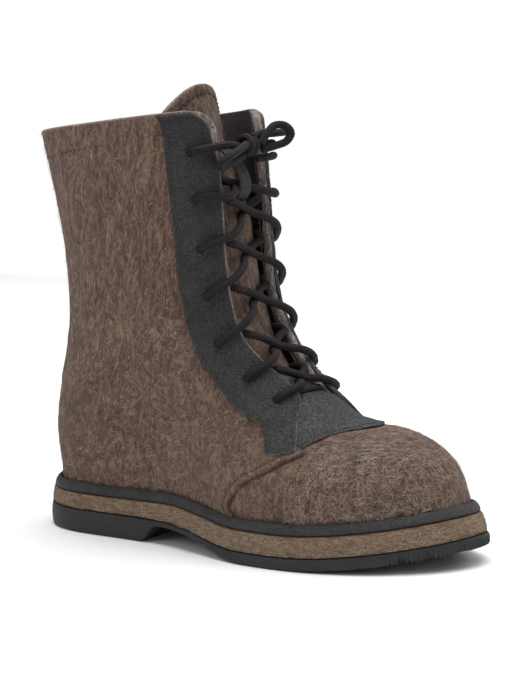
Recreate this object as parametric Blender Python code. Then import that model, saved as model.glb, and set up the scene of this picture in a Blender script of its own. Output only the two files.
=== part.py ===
"""A lace-up felt boot for the right foot, standing empty on its sole.

The boot is drawn on a straight last, measured from the back of the heel, and then swung to the right
foot and placed with its origin on the floor under the heel's middle lug. X runs to the toe, Y to the
wearer's left and Z up. Working dimensions are in millimetres, and meshes are written in metres.
"""

import math

import bmesh
import bpy
import numpy as np

MM = 0.001
GAP = 0.3  # clearance between neighbouring pieces

# Sole unit, from the floor up
LENGTH = 296.0
HEEL_REST = 39.0  # the heel's middle lug, which holds the origin
OUTSOLE = 7.6  # rubber under the forefoot
HEEL_LIFT = 7.5  # extra height of the heel block
HEEL_BREAST = 86.0  # front of the heel block
MIDSOLE_FORE = 12.6  # pressed felt
MIDSOLE_HEEL = 9.9
WELT = 6.6  # leather rand around the foot of the upper
INSOLE = 4.0
INSOLE_EASE = 5.0  # between the insole and the wall
FEATHER_EASE = 0.6  # between the foot of the upper and the sole
TOE_EASE = 0.5  # extra gap under the toe, where the wall leans
TOE_SPRING = 12.0
SPRING_START = 200.0
UPPER_INSET = 8.0  # from the edge of the sole's plan to the felt

# Upper
WALL = 5.0
LEATHER = 1.8
BULGE = 3.5  # felt swells over the welt
CORNER = 16.0  # radius of the quarters' top front corners
FACING_EASE = 0.6  # between the facing and the felt
EYELET_RUNS = (23.0, 49.0, 76.5, 103.5, 133.0, 161.0, 183.5)  # from the collar, along the throat
EYELET_IN = (18.5, 15.0)  # from the throat's edge, at the top and at the foot
EYELET_BORE = 5.6
LACE = 4.8

# Tread
BREAST_RUN = 13.0  # slope of the heel's breast
TREAD_RUNS = ((6.0, 82.0), (186.0, 292.0))
ARCH_SHEET = 3.6  # rubber under the arch
ARCH_END = (130.0, 50.0)  # where the sheet thickens, and over what length
LUG_PITCH = 11.0
LUG = 6.5
LUG_FLANK = 1.2
GROOVE = 2.6
TOE_TEETH = 262.0  # the lugs show in the wall from here on
HEEL_TEETH = 10.0

# Insets from the edge of the sole's plan
MIDSOLE_INSET = 1.8
WELT_INSET = 3.4
WELT_LIP = 1.3

# Facings, tongue and gusset
GUSSET_LOW = 8.2
GUSSET_HIGH = 10.2
GUSSET_HALF = 32.0
GUSSET_SAG = 3.2
GUSSET_EASE = 2.4  # below the felt's wall
TONGUE_LOW = 9.6
TONGUE_HIGH = 19.95
TONGUE_ARCH = 0.6
TONGUE_RADIUS = 46.0
TONGUE_FOOT = 26.5  # half width at the foot, and at the top
TONGUE_HALF = 38.0
SPREAD_START = 13.5  # section where the tongue begins to widen
SPREAD_RUN = 5.0
TONGUE_DEPTH = 12.4
TONGUE_LEAN = 14.6
LEAN_START = 17.0
LEAN_RUN = 3.2
KEEPER_WIDTH = 11.0
KEEPER_LOW = 17.65
KEEPER_HIGH = 19.25
KEEPER_Y = -2.0
KEEPER_STAND = 15.0  # over the tongue, clear of the crossing's middle

# Lace, measured from the last's outside
OVER_FACING = FACING_EASE + LEATHER + 0.5 * LACE + 2.0 * GAP
CROSS_MIDDLE = -1.3  # behind the chord between the throat's edges
CROSS_APART = 2.9  # between the two strands where they cross
LACE_EASE = 2.0  # between the lace and the tongue
CROSS_END = 5.5  # short of the throat's edge
CROSS_CLIMB = 0.82  # part of a row's pitch climbed between the throat's edges
BAR_END = 3.5

# Half width of the throat, and width of the facing over the surface. Below the throat's foot the first
# column is the facing's front edge, which runs down the side.
EDGE_COLUMNS = ("section", "half", "facing")
EDGES = (
    (7.45, 43.0, 1.5),
    (7.95, 35.5, 15.5),
    (8.4, 30.0, 26.0),
    (8.95, 21.5, 28.5),
    (9.4, 15.5, 31.0),
    (10.0, 15.2, 33.5),
    (11.0, 19.5, 31.5),
    (12.3, 24.5, 30.5),
    (13.8, 25.0, 33.0),
    (15.5, 25.0, 34.0),
    (20.0, 25.0, 33.5),
)

# Half widths of the straight last's plan, from its axis to the edge of the sole.
PLAN_COLUMNS = ("x", "lateral", "medial")
PLAN = (
    (0.0, 38.0, 37.0),
    (45.0, 40.0, 38.0),
    (100.0, 43.0, 36.0),
    (140.0, 53.0, 40.0),
    (180.0, 61.5, 47.0),
    (215.0, 62.0, 52.0),
    (250.0, 57.0, 52.0),
    (280.0, 51.0, 48.0),
    (300.0, 46.0, 44.0),
)
HEEL_ROUND = 44.0
TOE_ROUND = 85.0
END_POWER = 2.25
SWING = 8.0  # the tip of the toe lies to the inner side
JOINT_LEAN = 0.15  # the toe joints' line runs forward to the inner side

# Sections that stand on the sole, from the toe back to the heel. Each is cut by a plane from a point on
# the ridge, the line along the top of the foot, to a station of the sole's plan. The rounding is the part
# of the section over which its top curves.
# Columns: x and z of the ridge, station of the plan, rounding.
FOOT_SECTIONS = (
    (282.6, 33.5, 287.0, 0.95),
    (280.9, 42.0, 285.6, 0.95),
    (278.0, 50.5, 283.0, 0.95),
    (271.7, 60.0, 277.3, 0.93),
    (261.5, 68.5, 267.5, 0.90),
    (248.0, 74.5, 251.0, 0.86),
    (231.0, 78.5, 230.0, 0.84),
    (214.0, 80.5, 205.0, 0.82),
    (203.0, 84.0, 182.0, 0.80),
    (193.0, 92.0, 157.0, 0.76),
    (181.0, 103.5, 128.0, 0.70),
    (169.5, 117.5, 96.0, 0.63),
    (161.0, 132.5, 62.0, 0.55),
    (155.0, 148.0, 30.0, 0.49),
    (151.0, 162.0, 8.0, 0.46),
)
# Sections that end on the back of the boot, up to one above the collar.
# Columns: x and z of the ridge, z at the back, rounding.
SHAFT_SECTIONS = (
    (148.5, 176.0, 58.0, 0.46),
    (146.5, 190.0, 88.0, 0.48),
    (145.0, 204.0, 120.0, 0.50),
    (143.5, 220.0, 158.0, 0.51),
    (141.5, 240.0, 204.0, 0.51),
    (139.0, 267.0, 250.0, 0.50),
    (136.5, 290.0, 273.0, 0.50),
)
COLLAR = len(FOOT_SECTIONS) + len(SHAFT_SECTIONS) - 2
THROAT = 9
HEEL_CORNER = len(FOOT_SECTIONS) - 1
TOP_POWER = 2.35

# Line of the back of the boot.
BACK_COLUMNS = ("z", "x")
BACK = (
    (0.0, 8.0),
    (38.0, 8.0),
    (46.0, 7.4),
    (58.0, 6.6),
    (72.0, 7.0),
    (95.0, 11.0),
    (112.0, 15.3),
    (129.0, 18.3),
    (157.0, 18.8),
    (180.0, 16.4),
    (208.0, 11.0),
    (250.0, 1.0),
    (290.0, -8.5),
)
# Half width of the shaft.
GIRTH_COLUMNS = ("z", "half")
GIRTH = (
    (0.0, 45.0),
    (110.0, 46.5),
    (150.0, 48.0),
    (200.0, 51.0),
    (255.0, 53.5),
    (290.0, 54.5),
)


def smooth_step(t):
    """Rise from 0 to 1 with level ends."""
    t = np.clip(t, 0.0, 1.0)
    return t * t * (3.0 - 2.0 * t)


def round_end(t, power=END_POWER):
    """Superellipse quarter: 0 at t = 0, level at 1 from t = 1."""
    t = np.clip(t, 0.0, 1.0)
    return (1.0 - (1.0 - t) ** power) ** (1.0 / power)


def smooth_curve(knots, values, at):
    """Cubic curve through the values, with each slope taken from its two neighbours."""
    knots = np.asarray(knots, dtype=float)
    values = np.asarray(values, dtype=float)
    at = np.clip(np.asarray(at, dtype=float), knots[0], knots[-1])
    slope = np.gradient(values, knots)
    i = np.clip(np.searchsorted(knots, at, side="right") - 1, 0, len(knots) - 2)
    span = knots[i + 1] - knots[i]
    t = (at - knots[i]) / span
    start = (1.0 + 2.0 * t) * (1.0 - t) ** 2 * values[i] + t * (1.0 - t) ** 2 * span * slope[i]
    end = t * t * (3.0 - 2.0 * t) * values[i + 1] + t * t * (t - 1.0) * span * slope[i + 1]
    return start + end


def read(table, names, key, name, at):
    """One named column of a table, read as a smooth curve over another."""
    knots = [row[names.index(key)] for row in table]
    values = [row[names.index(name)] for row in table]
    return smooth_curve(knots, values, at)


# ---------------------------------------------------------------- the last


def swing_to_right(points):
    """Turn points of the straight last into the right foot's, measured from the heel's middle lug."""
    points = np.array(points, dtype=float)
    x = points[..., 0].copy()
    y = points[..., 1].copy()
    lean = JOINT_LEAN * smooth_step((x - 110.0) / 80.0)
    points[..., 0] = x + lean * y - HEEL_REST
    points[..., 1] = y + SWING * np.clip((x - 150.0) / (LENGTH - 150.0), 0.0, 1.1) ** 2
    return points


def plan_half(station, side):
    """Half width of the sole's plan before its ends are rounded."""
    return read(PLAN, PLAN_COLUMNS, "x", "lateral" if side < 0 else "medial", station)


def outline(station, side, inset):
    """Y of the sole's plan, drawn in by the inset."""
    toe = round_end((LENGTH - inset - station) / (TOE_ROUND - inset))
    heel = round_end((station - inset) / (HEEL_ROUND - inset))
    return side * (plan_half(station, side) - inset) * toe * heel


def spring(station):
    """Rise of the sole's underside towards the toe."""
    return TOE_SPRING * np.clip((station - SPRING_START) / (LENGTH - SPRING_START), 0.0, 1.2) ** 1.8


def spring_turn(station):
    """Angle of the sole's underside."""
    run = LENGTH - SPRING_START
    return np.arctan(1.8 * TOE_SPRING / run * np.clip((station - SPRING_START) / run, 0.0, 1.2) ** 0.8)


def bend(station, height):
    """X and Z of a point at a height over the sprung sole."""
    turn = spring_turn(station)
    return station - height * np.sin(turn), spring(station) + height * np.cos(turn)


def unbend(x, z):
    """Station and height of a point, the other way round."""
    station = np.array(x, dtype=float)
    for _ in range(12):
        height = (z - spring(station)) / np.cos(spring_turn(station))
        station = x + height * np.sin(spring_turn(station))
    return station, (z - spring(station)) / np.cos(spring_turn(station))


def midsole_bottom(station):
    """Height of the midsole's underside: it drops from the heel to the forefoot."""
    return OUTSOLE + HEEL_LIFT * smooth_step((172.0 - station) / 68.0)


def midsole_top(station):
    """Height of the midsole's upper face."""
    felt = MIDSOLE_HEEL + (MIDSOLE_FORE - MIDSOLE_HEEL) * smooth_step((station - 60.0) / 110.0)
    return midsole_bottom(station) + felt


def back_x(z):
    """Line of the back of the boot."""
    return read(BACK, BACK_COLUMNS, "z", "x", z)


def section_ends(s):
    """Ridge point, base point and rounding of the sections at the places s."""
    s = np.asarray(s, dtype=float)
    index = np.arange(COLLAR + 2)
    rows = [row[:2] + row[3:] for row in FOOT_SECTIONS + SHAFT_SECTIONS]
    ridge_x, ridge_z, rounding = (smooth_curve(index, [row[k] for row in rows], s) for k in range(3))
    stations = [row[2] for row in FOOT_SECTIONS]
    foot_x, foot_z = bend(*on_feather(smooth_curve(index[: HEEL_CORNER + 1], stations, s)))
    corner_z = float(on_feather(UPPER_INSET)[1])
    backs = [corner_z] + [row[2] for row in SHAFT_SECTIONS]
    shaft_z = smooth_curve(index[HEEL_CORNER:], backs, s)
    on_foot = s <= HEEL_CORNER
    base_x = np.where(on_foot, foot_x, back_x(shaft_z))
    base_z = np.where(on_foot, foot_z, shaft_z)
    return ridge_x, ridge_z, base_x, base_z, rounding


def on_feather(station):
    """Station and height where the upper's foot meets the midsole."""
    return station, midsole_top(station) + FEATHER_EASE + TOE_EASE * smooth_step((station - 255.0) / 30.0)


def last_surface(s, v, side):
    """Point of the straight last's outside: section s, from the ridge (v = 0) to the base (v = 1)."""
    ridge_x, ridge_z, base_x, base_z, rounding = section_ends(s)
    x = ridge_x + v * (base_x - ridge_x)
    z = ridge_z + v * (base_z - ridge_z)
    station, height = unbend(x, z)
    foot_z = midsole_top(station) + WELT
    swell = BULGE * smooth_step((height - foot_z - 1.0) / 22.0)
    foot_half = plan_half(station, side) - UPPER_INSET + swell
    shaft_half = read(GIRTH, GIRTH_COLUMNS, "z", "half", z)
    rise = smooth_step((height - 46.0) / 84.0)
    toe = round_end((LENGTH - UPPER_INSET - station) / (TOE_ROUND - UPPER_INSET))
    heel_run = HEEL_ROUND - UPPER_INSET + 24.0 * smooth_step((z - 44.0) / 90.0)
    heel = round_end((x - back_x(z)) / heel_run)
    top = round_end(v / rounding, TOP_POWER)
    y = side * ((1.0 - rise) * foot_half + rise * shaft_half) * toe * heel * top
    return np.stack(np.broadcast_arrays(x, y, z), axis=-1)


def lifted(s, v, side, rise):
    """Point of the last's outside moved outwards by rise (inwards if negative)."""
    s, v = np.broadcast_arrays(np.asarray(s, dtype=float), np.asarray(v, dtype=float))
    step = 0.004
    along = last_surface(np.minimum(s + step, COLLAR + 1), v, side) - last_surface(s - step, v, side)
    low = np.clip(v - step, 0.0, 1.0)
    high = np.clip(v + step, 0.0, 1.0)
    across = last_surface(s, high, side) - last_surface(s, low, side)
    normal = -np.cross(along, across) * side
    length = np.linalg.norm(normal, axis=-1, keepdims=True)
    normal = normal / np.maximum(length, 1e-9)
    return last_surface(s, v, side) + rise * normal


def arc(points):
    """Running length along a row of points."""
    steps = np.linalg.norm(np.diff(points, axis=0), axis=1)
    return np.concatenate(([0.0], np.cumsum(steps)))


def front_v(s, y):
    """Place on the front half of section s where the last is y from its axis."""
    s, y = np.broadcast_arrays(np.asarray(s, dtype=float), np.abs(np.asarray(y, dtype=float)))
    low = np.zeros(s.shape)
    high = np.full(s.shape, 1.0) * section_ends(s)[4]
    for _ in range(40):
        middle = 0.5 * (low + high)
        inside = np.abs(last_surface(s, middle, -1)[..., 1]) < y
        low = np.where(inside, middle, low)
        high = np.where(inside, high, middle)
    return 0.5 * (low + high)


def edge_half(s):
    """Half width of the throat between the facings' front edges."""
    return read(EDGES, EDGE_COLUMNS, "section", "half", s)


def throat_half(s):
    """Half width of the throat with its squared foot and round top corners."""
    s = np.asarray(s, dtype=float)
    foot = round_end((s - THROAT) / 0.35, 3.0)
    return edge_half(np.maximum(s, 9.4)) * foot + corner_rise(s)


def corner_rise(s):
    """How far the throat's edge draws back in the round top corners."""
    below = np.clip(section_ends(COLLAR)[1] - section_ends(s)[1], 0.0, CORNER)
    return CORNER * (1.0 - np.sqrt(np.clip(1.0 - (1.0 - below / CORNER) ** 2, 0.0, 1.0)))


def throat_v(s):
    """Place of the throat's edge on each section, 0 on those below the throat."""
    s = np.asarray(s, dtype=float)
    return np.where(s > THROAT, front_v(s, throat_half(s)), 0.0)


def reach(s, side, start, distance):
    """Place on section s that lies a distance over the surface from the place start."""
    v = np.linspace(start, 1.0, 160)
    run = arc(last_surface(np.full(v.shape, s), v, side))
    return float(np.interp(distance, run, v))


def eyelet_places(side):
    """Section and place of each eyelet, from the top down."""
    s = np.linspace(COLLAR, 9.4, 300)
    run = arc(last_surface(s, front_v(s, edge_half(s)), side))
    places = []
    for row, distance in enumerate(EYELET_RUNS):
        section = float(np.interp(distance, run, s))
        edge_v = float(front_v(section, edge_half(section)))
        inwards = np.interp(row, (0.0, len(EYELET_RUNS) - 1.0), EYELET_IN)
        places.append((section, reach(section, side, edge_v, inwards)))
    return places


# ---------------------------------------------------------------- meshes


def plain_material(name, color, roughness):
    """Plain material of a piece."""
    material = bpy.data.materials.new(name)
    material.use_nodes = True
    surface = material.node_tree.nodes["Principled BSDF"]
    surface.inputs["Base Color"].default_value = (*color, 1.0)
    surface.inputs["Roughness"].default_value = roughness
    surface.inputs["Metallic"].default_value = 0.0
    return material


def add_object(name, points, faces, material):
    """Object from points of the straight last in millimetres, swung to the right foot."""
    mesh = bpy.data.meshes.new(name)
    bm = bmesh.new()
    for point in swing_to_right(points) * MM:
        bm.verts.new(point)
    bm.verts.ensure_lookup_table()
    for face in faces:
        bm.faces.new([bm.verts[i] for i in face])
    bmesh.ops.remove_doubles(bm, verts=bm.verts, dist=0.02 * MM)
    bmesh.ops.dissolve_degenerate(bm, edges=bm.edges, dist=0.001 * MM)
    bm.to_mesh(mesh)
    bm.free()
    mesh.shade_smooth()
    mesh.set_sharp_from_angle(angle=math.radians(40.0))
    mesh.materials.append(material)
    item = bpy.data.objects.new(name, mesh)
    bpy.context.collection.objects.link(item)
    return item


def grid_faces(rows, columns, start=0, flip=False):
    """Quads of a grid of points stored row by row."""
    faces = []
    for i in range(rows - 1):
        for j in range(columns - 1):
            a = start + i * columns + j
            quad = (a, a + columns, a + columns + 1, a + 1)
            faces.append(quad[::-1] if flip else quad)
    return faces


def closed_faces(rings, count, start=0):
    """Quads between closed rings of the same number of points."""
    faces = []
    for i in range(rings - 1):
        for j in range(count):
            a = start + i * count + j
            b = start + i * count + (j + 1) % count
            faces.append((a, b, b + count, a + count))
    return faces


def thicken(item, thickness, outwards):
    """Wall of an open surface."""
    wall = item.modifiers.new("wall", "SOLIDIFY")
    wall.thickness = thickness * MM
    wall.offset = 1.0 if outwards else -1.0
    wall.use_quality_normals = True
    return item


def cut(item, cutter):
    """Hole cut by a hidden tool."""
    hole = item.modifiers.new("hole", "BOOLEAN")
    hole.operation = "DIFFERENCE"
    hole.solver = "EXACT"
    hole.object = cutter
    return item


# ---------------------------------------------------------------- sole


def plan_ring(stations, inset, height_of):
    """Closed ring round the sole's plan at a height worked out from the station."""
    points = []
    for side, order in ((-1, 1), (1, -1)):
        place = stations[::order]
        place = place if side < 0 else place[1:-1]
        x, z = bend(place, height_of(place))
        points.append(np.stack((x, outline(place, side, inset), z), axis=-1))
    return np.concatenate(points)


def plan_stations(inset, count):
    """Stations closer together at both round ends."""
    turn = np.linspace(0.0, math.pi, count)
    middle = 0.5 * LENGTH
    return middle - (middle - inset) * np.cos(turn)


def cap_faces(stations, start, flip):
    """Faces across a ring, from its lateral to its medial side."""
    ring = 2 * stations - 2
    faces = []
    for i in range(stations - 1):
        near = (start + i, start + i + 1)
        far = tuple(start + (ring - k) % ring for k in (i + 1, i))
        face = tuple(dict.fromkeys(near + far))
        faces.append(face[::-1] if flip else face)
    return faces


def layer(name, rings, count, material):
    """Closed slab from rings (inset, height function) listed from the bottom up."""
    points = [plan_ring(plan_stations(inset, count), inset, height) for inset, height in rings]
    size = 2 * count - 2
    faces = closed_faces(len(rings), size)
    faces += cap_faces(count, 0, True)
    faces += cap_faces(count, (len(rings) - 1) * size, False)
    return add_object(name, np.concatenate(points), faces, material)


def sole_floor(station):
    """Height of the outsole's underside over the sprung line: heel block, arch, forefoot."""
    start, run = ARCH_END
    sheet = ARCH_SHEET + (OUTSOLE - ARCH_SHEET) * smooth_step((station - start) / run)
    return (midsole_bottom(station) - sheet) * smooth_step((station - HEEL_BREAST) / BREAST_RUN)


def tread_groove(station):
    """1 in the cross grooves of the tread and 0 on its lugs."""
    groove = np.zeros(np.shape(station))
    for first, last in TREAD_RUNS:
        place = (station - first) / LUG_PITCH
        inside = (station > first) & (station < last)
        wave = np.abs(place - np.round(place)) * LUG_PITCH - 0.5 * LUG
        groove = np.where(inside, np.clip(wave / LUG_FLANK, 0.0, 1.0), groove)
    return groove


def tread_stations():
    """Stations of the outsole, with one at each corner of each lug."""
    stations = [0.0, LENGTH]
    for first, last in TREAD_RUNS:
        for k in range(int((last - first) / LUG_PITCH) + 1):
            middle = first + k * LUG_PITCH
            for half in (0.5 * LUG, 0.5 * LUG + LUG_FLANK):
                stations += [middle - half, middle + half]
    even = plan_stations(0.0, 34)
    crowded = [x for x in even if min(abs(x - y) for y in stations) > 2.0]
    stations = sorted(set(stations + crowded))
    return np.array([x for x in stations if 0.0 <= x <= LENGTH])


def add_outsole(material):
    """Rubber unit: rounded wall, heel block, arch, and cross lugs inside a plain rim."""
    plan = tread_stations()
    turn = np.arccos(np.clip(1.0 - 2.0 * plan / LENGTH, -1.0, 1.0))
    profile = (
        # inset, part of the height, part of the groove's depth
        (1.5, 1.0, 0.0),
        (0.8, 0.55, 0.0),
        (1.1, 0.25, 0.0),
        (3.0, 0.0, 0.0),
        (7.6, 0.0, 0.0),
        (9.2, 0.0, 1.0),
    )
    rings = []
    for side in (-1, 1):
        for inset, part, depth in profile if side < 0 else profile[::-1]:
            middle = 0.5 * LENGTH
            station = middle - (middle - inset) * np.cos(turn)
            floor = sole_floor(station)
            top = midsole_bottom(station) - GAP
            teeth = smooth_step((station - TOE_TEETH) / 5.0) + smooth_step((HEEL_TEETH - station) / 5.0)
            share = depth if part > 0.0 or depth else teeth
            low = floor + GROOVE * tread_groove(station) * share
            x, z = bend(station, low + part * (top - low))
            rings.append(np.stack((x, outline(station, side, inset), z), axis=-1))
    points = np.stack(rings, axis=1)
    rows, columns = points.shape[:2]
    faces = grid_faces(rows, columns, flip=True)
    for i in range(rows - 1):
        a = i * columns
        faces.append((a, a + columns, a + 2 * columns - 1, a + columns - 1))
    return add_object("outsole", points.reshape(-1, 3), faces, material)


def add_midsole(material):
    """Pressed felt slab whose edge leans in a little."""
    rings = (
        (MIDSOLE_INSET, midsole_bottom),
        (MIDSOLE_INSET + 0.2, lambda x: 0.5 * (midsole_bottom(x) + midsole_top(x))),
        (WELT_INSET, midsole_top),
    )
    return layer("midsole", rings, 34, material)


def add_insole(material):
    """Board inside the upper, on the midsole."""
    inset = UPPER_INSET + WALL + INSOLE_EASE
    rings = (
        (inset, lambda x: midsole_top(x) + GAP),
        (inset, lambda x: midsole_top(x) + GAP + INSOLE),
    )
    return layer("insole", rings, 26, material)


def add_welt(material):
    """Leather rand round the foot of the upper: broad below, a thin lip above."""
    inner = UPPER_INSET - 3.0 * GAP
    corners = (
        (WELT_INSET, GAP),
        (inner - WELT_LIP, WELT),
        (inner, WELT),
        (inner, GAP),
        (WELT_INSET, GAP),
    )
    rings = [
        plan_ring(plan_stations(inset, 34), inset, lambda x, up=up: midsole_top(x) + up)
        for inset, up in corners
    ]
    return add_object("welt", np.concatenate(rings), closed_faces(len(rings), len(rings[0])), material)


# ---------------------------------------------------------------- upper


def side_grid(sections, starts, ends, columns, side, rise=0.0):
    """Points of one side of the last between two places on each section."""
    u = np.linspace(0.0, 1.0, columns)
    ease = 0.55 * u**1.5 + 0.45 * (1.0 - (1.0 - u) ** 1.6)
    v = starts[:, None] + (ends - starts)[:, None] * ease[None, :]
    if rise:
        return lifted(sections[:, None], v, side, rise)
    return last_surface(sections[:, None], v, side)


def upper_sections():
    """Sections of the felt's mesh: close together at the toe, the throat's foot and the collar."""
    toe = [0.0, 0.3, 0.8, 1.3, 1.8, 2.3, 2.8, 3.3, 3.8, 4.4, 5.0, 5.6, 6.2, 6.8, 7.4]
    throat = [8.2, 9.0, 9.03, 9.12, 9.3, 9.6, 10.1, 10.8, 11.5, 12.2, 12.9, 13.5, 14.0]
    shaft = [14.7, 15.4, 16.1, 16.8, 17.6, 18.4, 19.0, 19.3, 19.55, 19.75, 19.9, 19.96, 20.0]
    return np.array(toe + throat + shaft)


def add_upper(material):
    """Felt vamp and quarters in one hollow wall: open at the collar, the throat and underneath."""
    sections = upper_sections()
    columns = 11
    points = []
    faces = []
    for side in (-1, 1):
        grid = side_grid(sections, throat_v(sections), np.ones(len(sections)), columns, side)
        grid[0, :, 1] = 0.0
        faces += grid_faces(len(sections), columns, start=len(points) * grid[..., 0].size, flip=side > 0)
        points.append(grid.reshape(-1, 3))
    upper = add_object("upper", np.concatenate(points), faces, material)
    return thicken(upper, WALL, outwards=False)


def add_facing(name, side, material):
    """Leather strip along the throat's edge and down the side, standing proud of the felt."""
    sections = upper_sections()
    foot = [row[0] for row in EDGES if row[0] < THROAT]
    sections = np.concatenate((foot, sections[sections >= 9.3]))
    starts = front_v(sections, edge_half(sections) + corner_rise(sections))
    widths = read(EDGES, EDGE_COLUMNS, "section", "facing", sections) - corner_rise(sections)
    ends = np.array([reach(s, side, v, width) for s, v, width in zip(sections, starts, widths)])
    grid = side_grid(sections, starts, ends, 8, side, FACING_EASE)
    faces = grid_faces(len(sections), 8, flip=side > 0)
    facing = add_object(name, grid.reshape(-1, 3), faces, material)
    return thicken(facing, LEATHER, outwards=True)


def panel_points(sections, y, rise):
    """Points over the front of the last, at y from its axis and moved outwards by rise."""
    half = front_v(sections, y)
    points = np.empty(y.shape + (3,))
    for side in (-1, 1):
        pick = (y < 0.0) == (side < 0)
        s, v = np.broadcast_to(sections, y.shape)[pick], half[pick]
        foot = last_surface(s, v, side)
        normal = lifted(s, v, side, 1.0) - foot
        points[pick] = foot + rise[pick][:, None] * normal
    return points


def front_panel(name, sections, half, rise, thickness, columns, material):
    """Sheet across the front of the last and inside it, thickened inwards.

    sections has a row of places for each height, and a column for each place across.
    """
    across = np.linspace(-1.0, 1.0, columns)
    y = across * half + np.zeros_like(sections)
    points = panel_points(sections, y, rise(sections, y))
    points[:, columns // 2, 1] = 0.0
    faces = grid_faces(len(sections), columns, flip=True)
    panel = add_object(name, points.reshape(-1, 3), faces, material)
    return thicken(panel, thickness, outwards=False)


def gusset_rise(s, y):
    """The gusset hangs from the facings and sags between them."""
    sag = GUSSET_SAG * smooth_step((s - THROAT) / 1.8) * (1.0 - np.clip(np.abs(y) / 26.0, 0.0, 1.0) ** 2)
    return -(WALL + GUSSET_EASE) - sag


def add_gusset(material):
    """Leather web that closes the foot of the throat."""
    sections = np.linspace(GUSSET_LOW, GUSSET_HIGH, 9)[:, None] * np.ones(15)
    return front_panel("throat_gusset", sections, GUSSET_HALF, gusset_rise, LEATHER, 15, material)


def tongue_depth(s):
    """How far the tongue's middle lies behind the ridge: it leans back above the lace."""
    return TONGUE_DEPTH + TONGUE_LEAN * smooth_step((s - LEAN_START) / LEAN_RUN)


def on_tongue(s, y, rise=0.0):
    """Point of the tongue's front, which is round about the leg, moved forwards by rise."""
    ridge_x, ridge_z, base_x, base_z, _ = section_ends(s)
    length = np.hypot(base_x - ridge_x, base_z - ridge_z)
    drop = TONGUE_RADIUS - np.sqrt(TONGUE_RADIUS**2 - y**2)
    back = (tongue_depth(s) + drop - rise) / length
    x = ridge_x + back * (base_x - ridge_x)
    z = ridge_z + back * (base_z - ridge_z)
    return np.stack(np.broadcast_arrays(x, y, z), axis=-1)


def add_tongue(material):
    """Thick felt tongue with an arched top."""
    columns = 13
    across = np.linspace(-1.0, 1.0, columns)
    top = TONGUE_HIGH + TONGUE_ARCH * (1.0 - across**4)
    up = np.linspace(0.0, 1.0, 19)[:, None]
    sections = TONGUE_LOW + up * (top - TONGUE_LOW)
    half = TONGUE_FOOT + (TONGUE_HALF - TONGUE_FOOT) * smooth_step((sections - SPREAD_START) / SPREAD_RUN)
    points = on_tongue(sections, across * half)
    faces = grid_faces(len(sections), columns, flip=True)
    tongue = add_object("tongue", points.reshape(-1, 3), faces, material)
    return thicken(tongue, WALL, outwards=False)


def add_keeper(material):
    """Leather loop on the tongue that holds the lace's upper crossing."""
    span = np.linspace(KEEPER_LOW, KEEPER_HIGH, 15)
    part = (span - KEEPER_LOW) / (KEEPER_HIGH - KEEPER_LOW)
    foot = LEATHER + GAP
    rise = foot + (KEEPER_STAND - foot) * np.sin(math.pi * part) ** 0.35
    y = KEEPER_Y + 0.5 * KEEPER_WIDTH * np.array((-1.0, 0.0, 1.0))
    points = on_tongue(span[:, None], y[None, :], rise[:, None])
    keeper = add_object("lace_keeper", points.reshape(-1, 3), grid_faces(15, 3, flip=True), material)
    return thicken(keeper, LEATHER, outwards=False)


# ---------------------------------------------------------------- lace


def rings_along(path, radius, sides):
    """Rings of points square to a path."""
    ahead = np.gradient(path, axis=0)
    ahead /= np.linalg.norm(ahead, axis=1)[:, None]
    across = np.cross(ahead, (0.0, 0.3, 1.0))
    across /= np.linalg.norm(across, axis=1)[:, None]
    up = np.cross(across, ahead)
    turn = np.linspace(0.0, 2.0 * math.pi, sides, endpoint=False)[None, :, None]
    return path[:, None, :] + radius * (np.cos(turn) * across[:, None, :] + np.sin(turn) * up[:, None, :])


def add_strand(name, path, radius, material, sides=8):
    """Closed round bar along a path of the straight last."""
    rings = rings_along(path, radius, sides)
    faces = [face[::-1] for face in closed_faces(len(path), sides)]
    last = (len(path) - 1) * sides
    faces.append(tuple(range(sides)))
    faces.append(tuple(range(last + sides - 1, last - 1, -1)))
    return add_object(name, rings.reshape(-1, 3), faces, material)


def as_tool(item):
    """Hide a shape that only cuts or joins others."""
    item.hide_render = True
    item.display_type = "WIRE"
    return item


def sagitta(s, y):
    """How far the last falls back from its ridge at y."""
    ridge_x, ridge_z, base_x, base_z, _ = section_ends(s)
    return front_v(s, y) * np.hypot(base_x - ridge_x, base_z - ridge_z)


def tongue_rise(s, y):
    """Height of the tongue's front over the last's surface, at y from the axis."""
    drop = TONGUE_RADIUS - np.sqrt(TONGUE_RADIUS**2 - y**2)
    return sagitta(s, y) - tongue_depth(s) - drop


def strand_path(start, finish, side, apart, held, points=12):
    """Way of a lace from over one facing, across the tongue, to under the other.

    A held strand is pressed on to the tongue by the keeper.
    """
    first, last = (float(edge_half(place[0])) for place in (start, finish))
    y = np.linspace(abs(start[1]), CROSS_END - last, points)
    climb = CROSS_CLIMB * np.clip((first - y) / (first + last), 0.0, 1.0)
    s = start[0] + (finish[0] - start[0]) * climb
    chord = CROSS_MIDDLE - sagitta(s, 0.5 * (first + last)) + sagitta(s, y)
    over_tongue = tongue_rise(s, y) + 0.5 * LACE + LACE_EASE
    middle = (over_tongue if held else np.maximum(chord, over_tongue)) + apart
    dip = smooth_step((first - y) / first)
    rise = OVER_FACING + (middle - OVER_FACING) * dip
    return panel_points(s, side * y, np.maximum(rise, over_tongue))


def eyelet_y(place, side):
    """Section and y of an eyelet."""
    return place[0], float(last_surface(place[0], place[1], side)[1])


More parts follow.
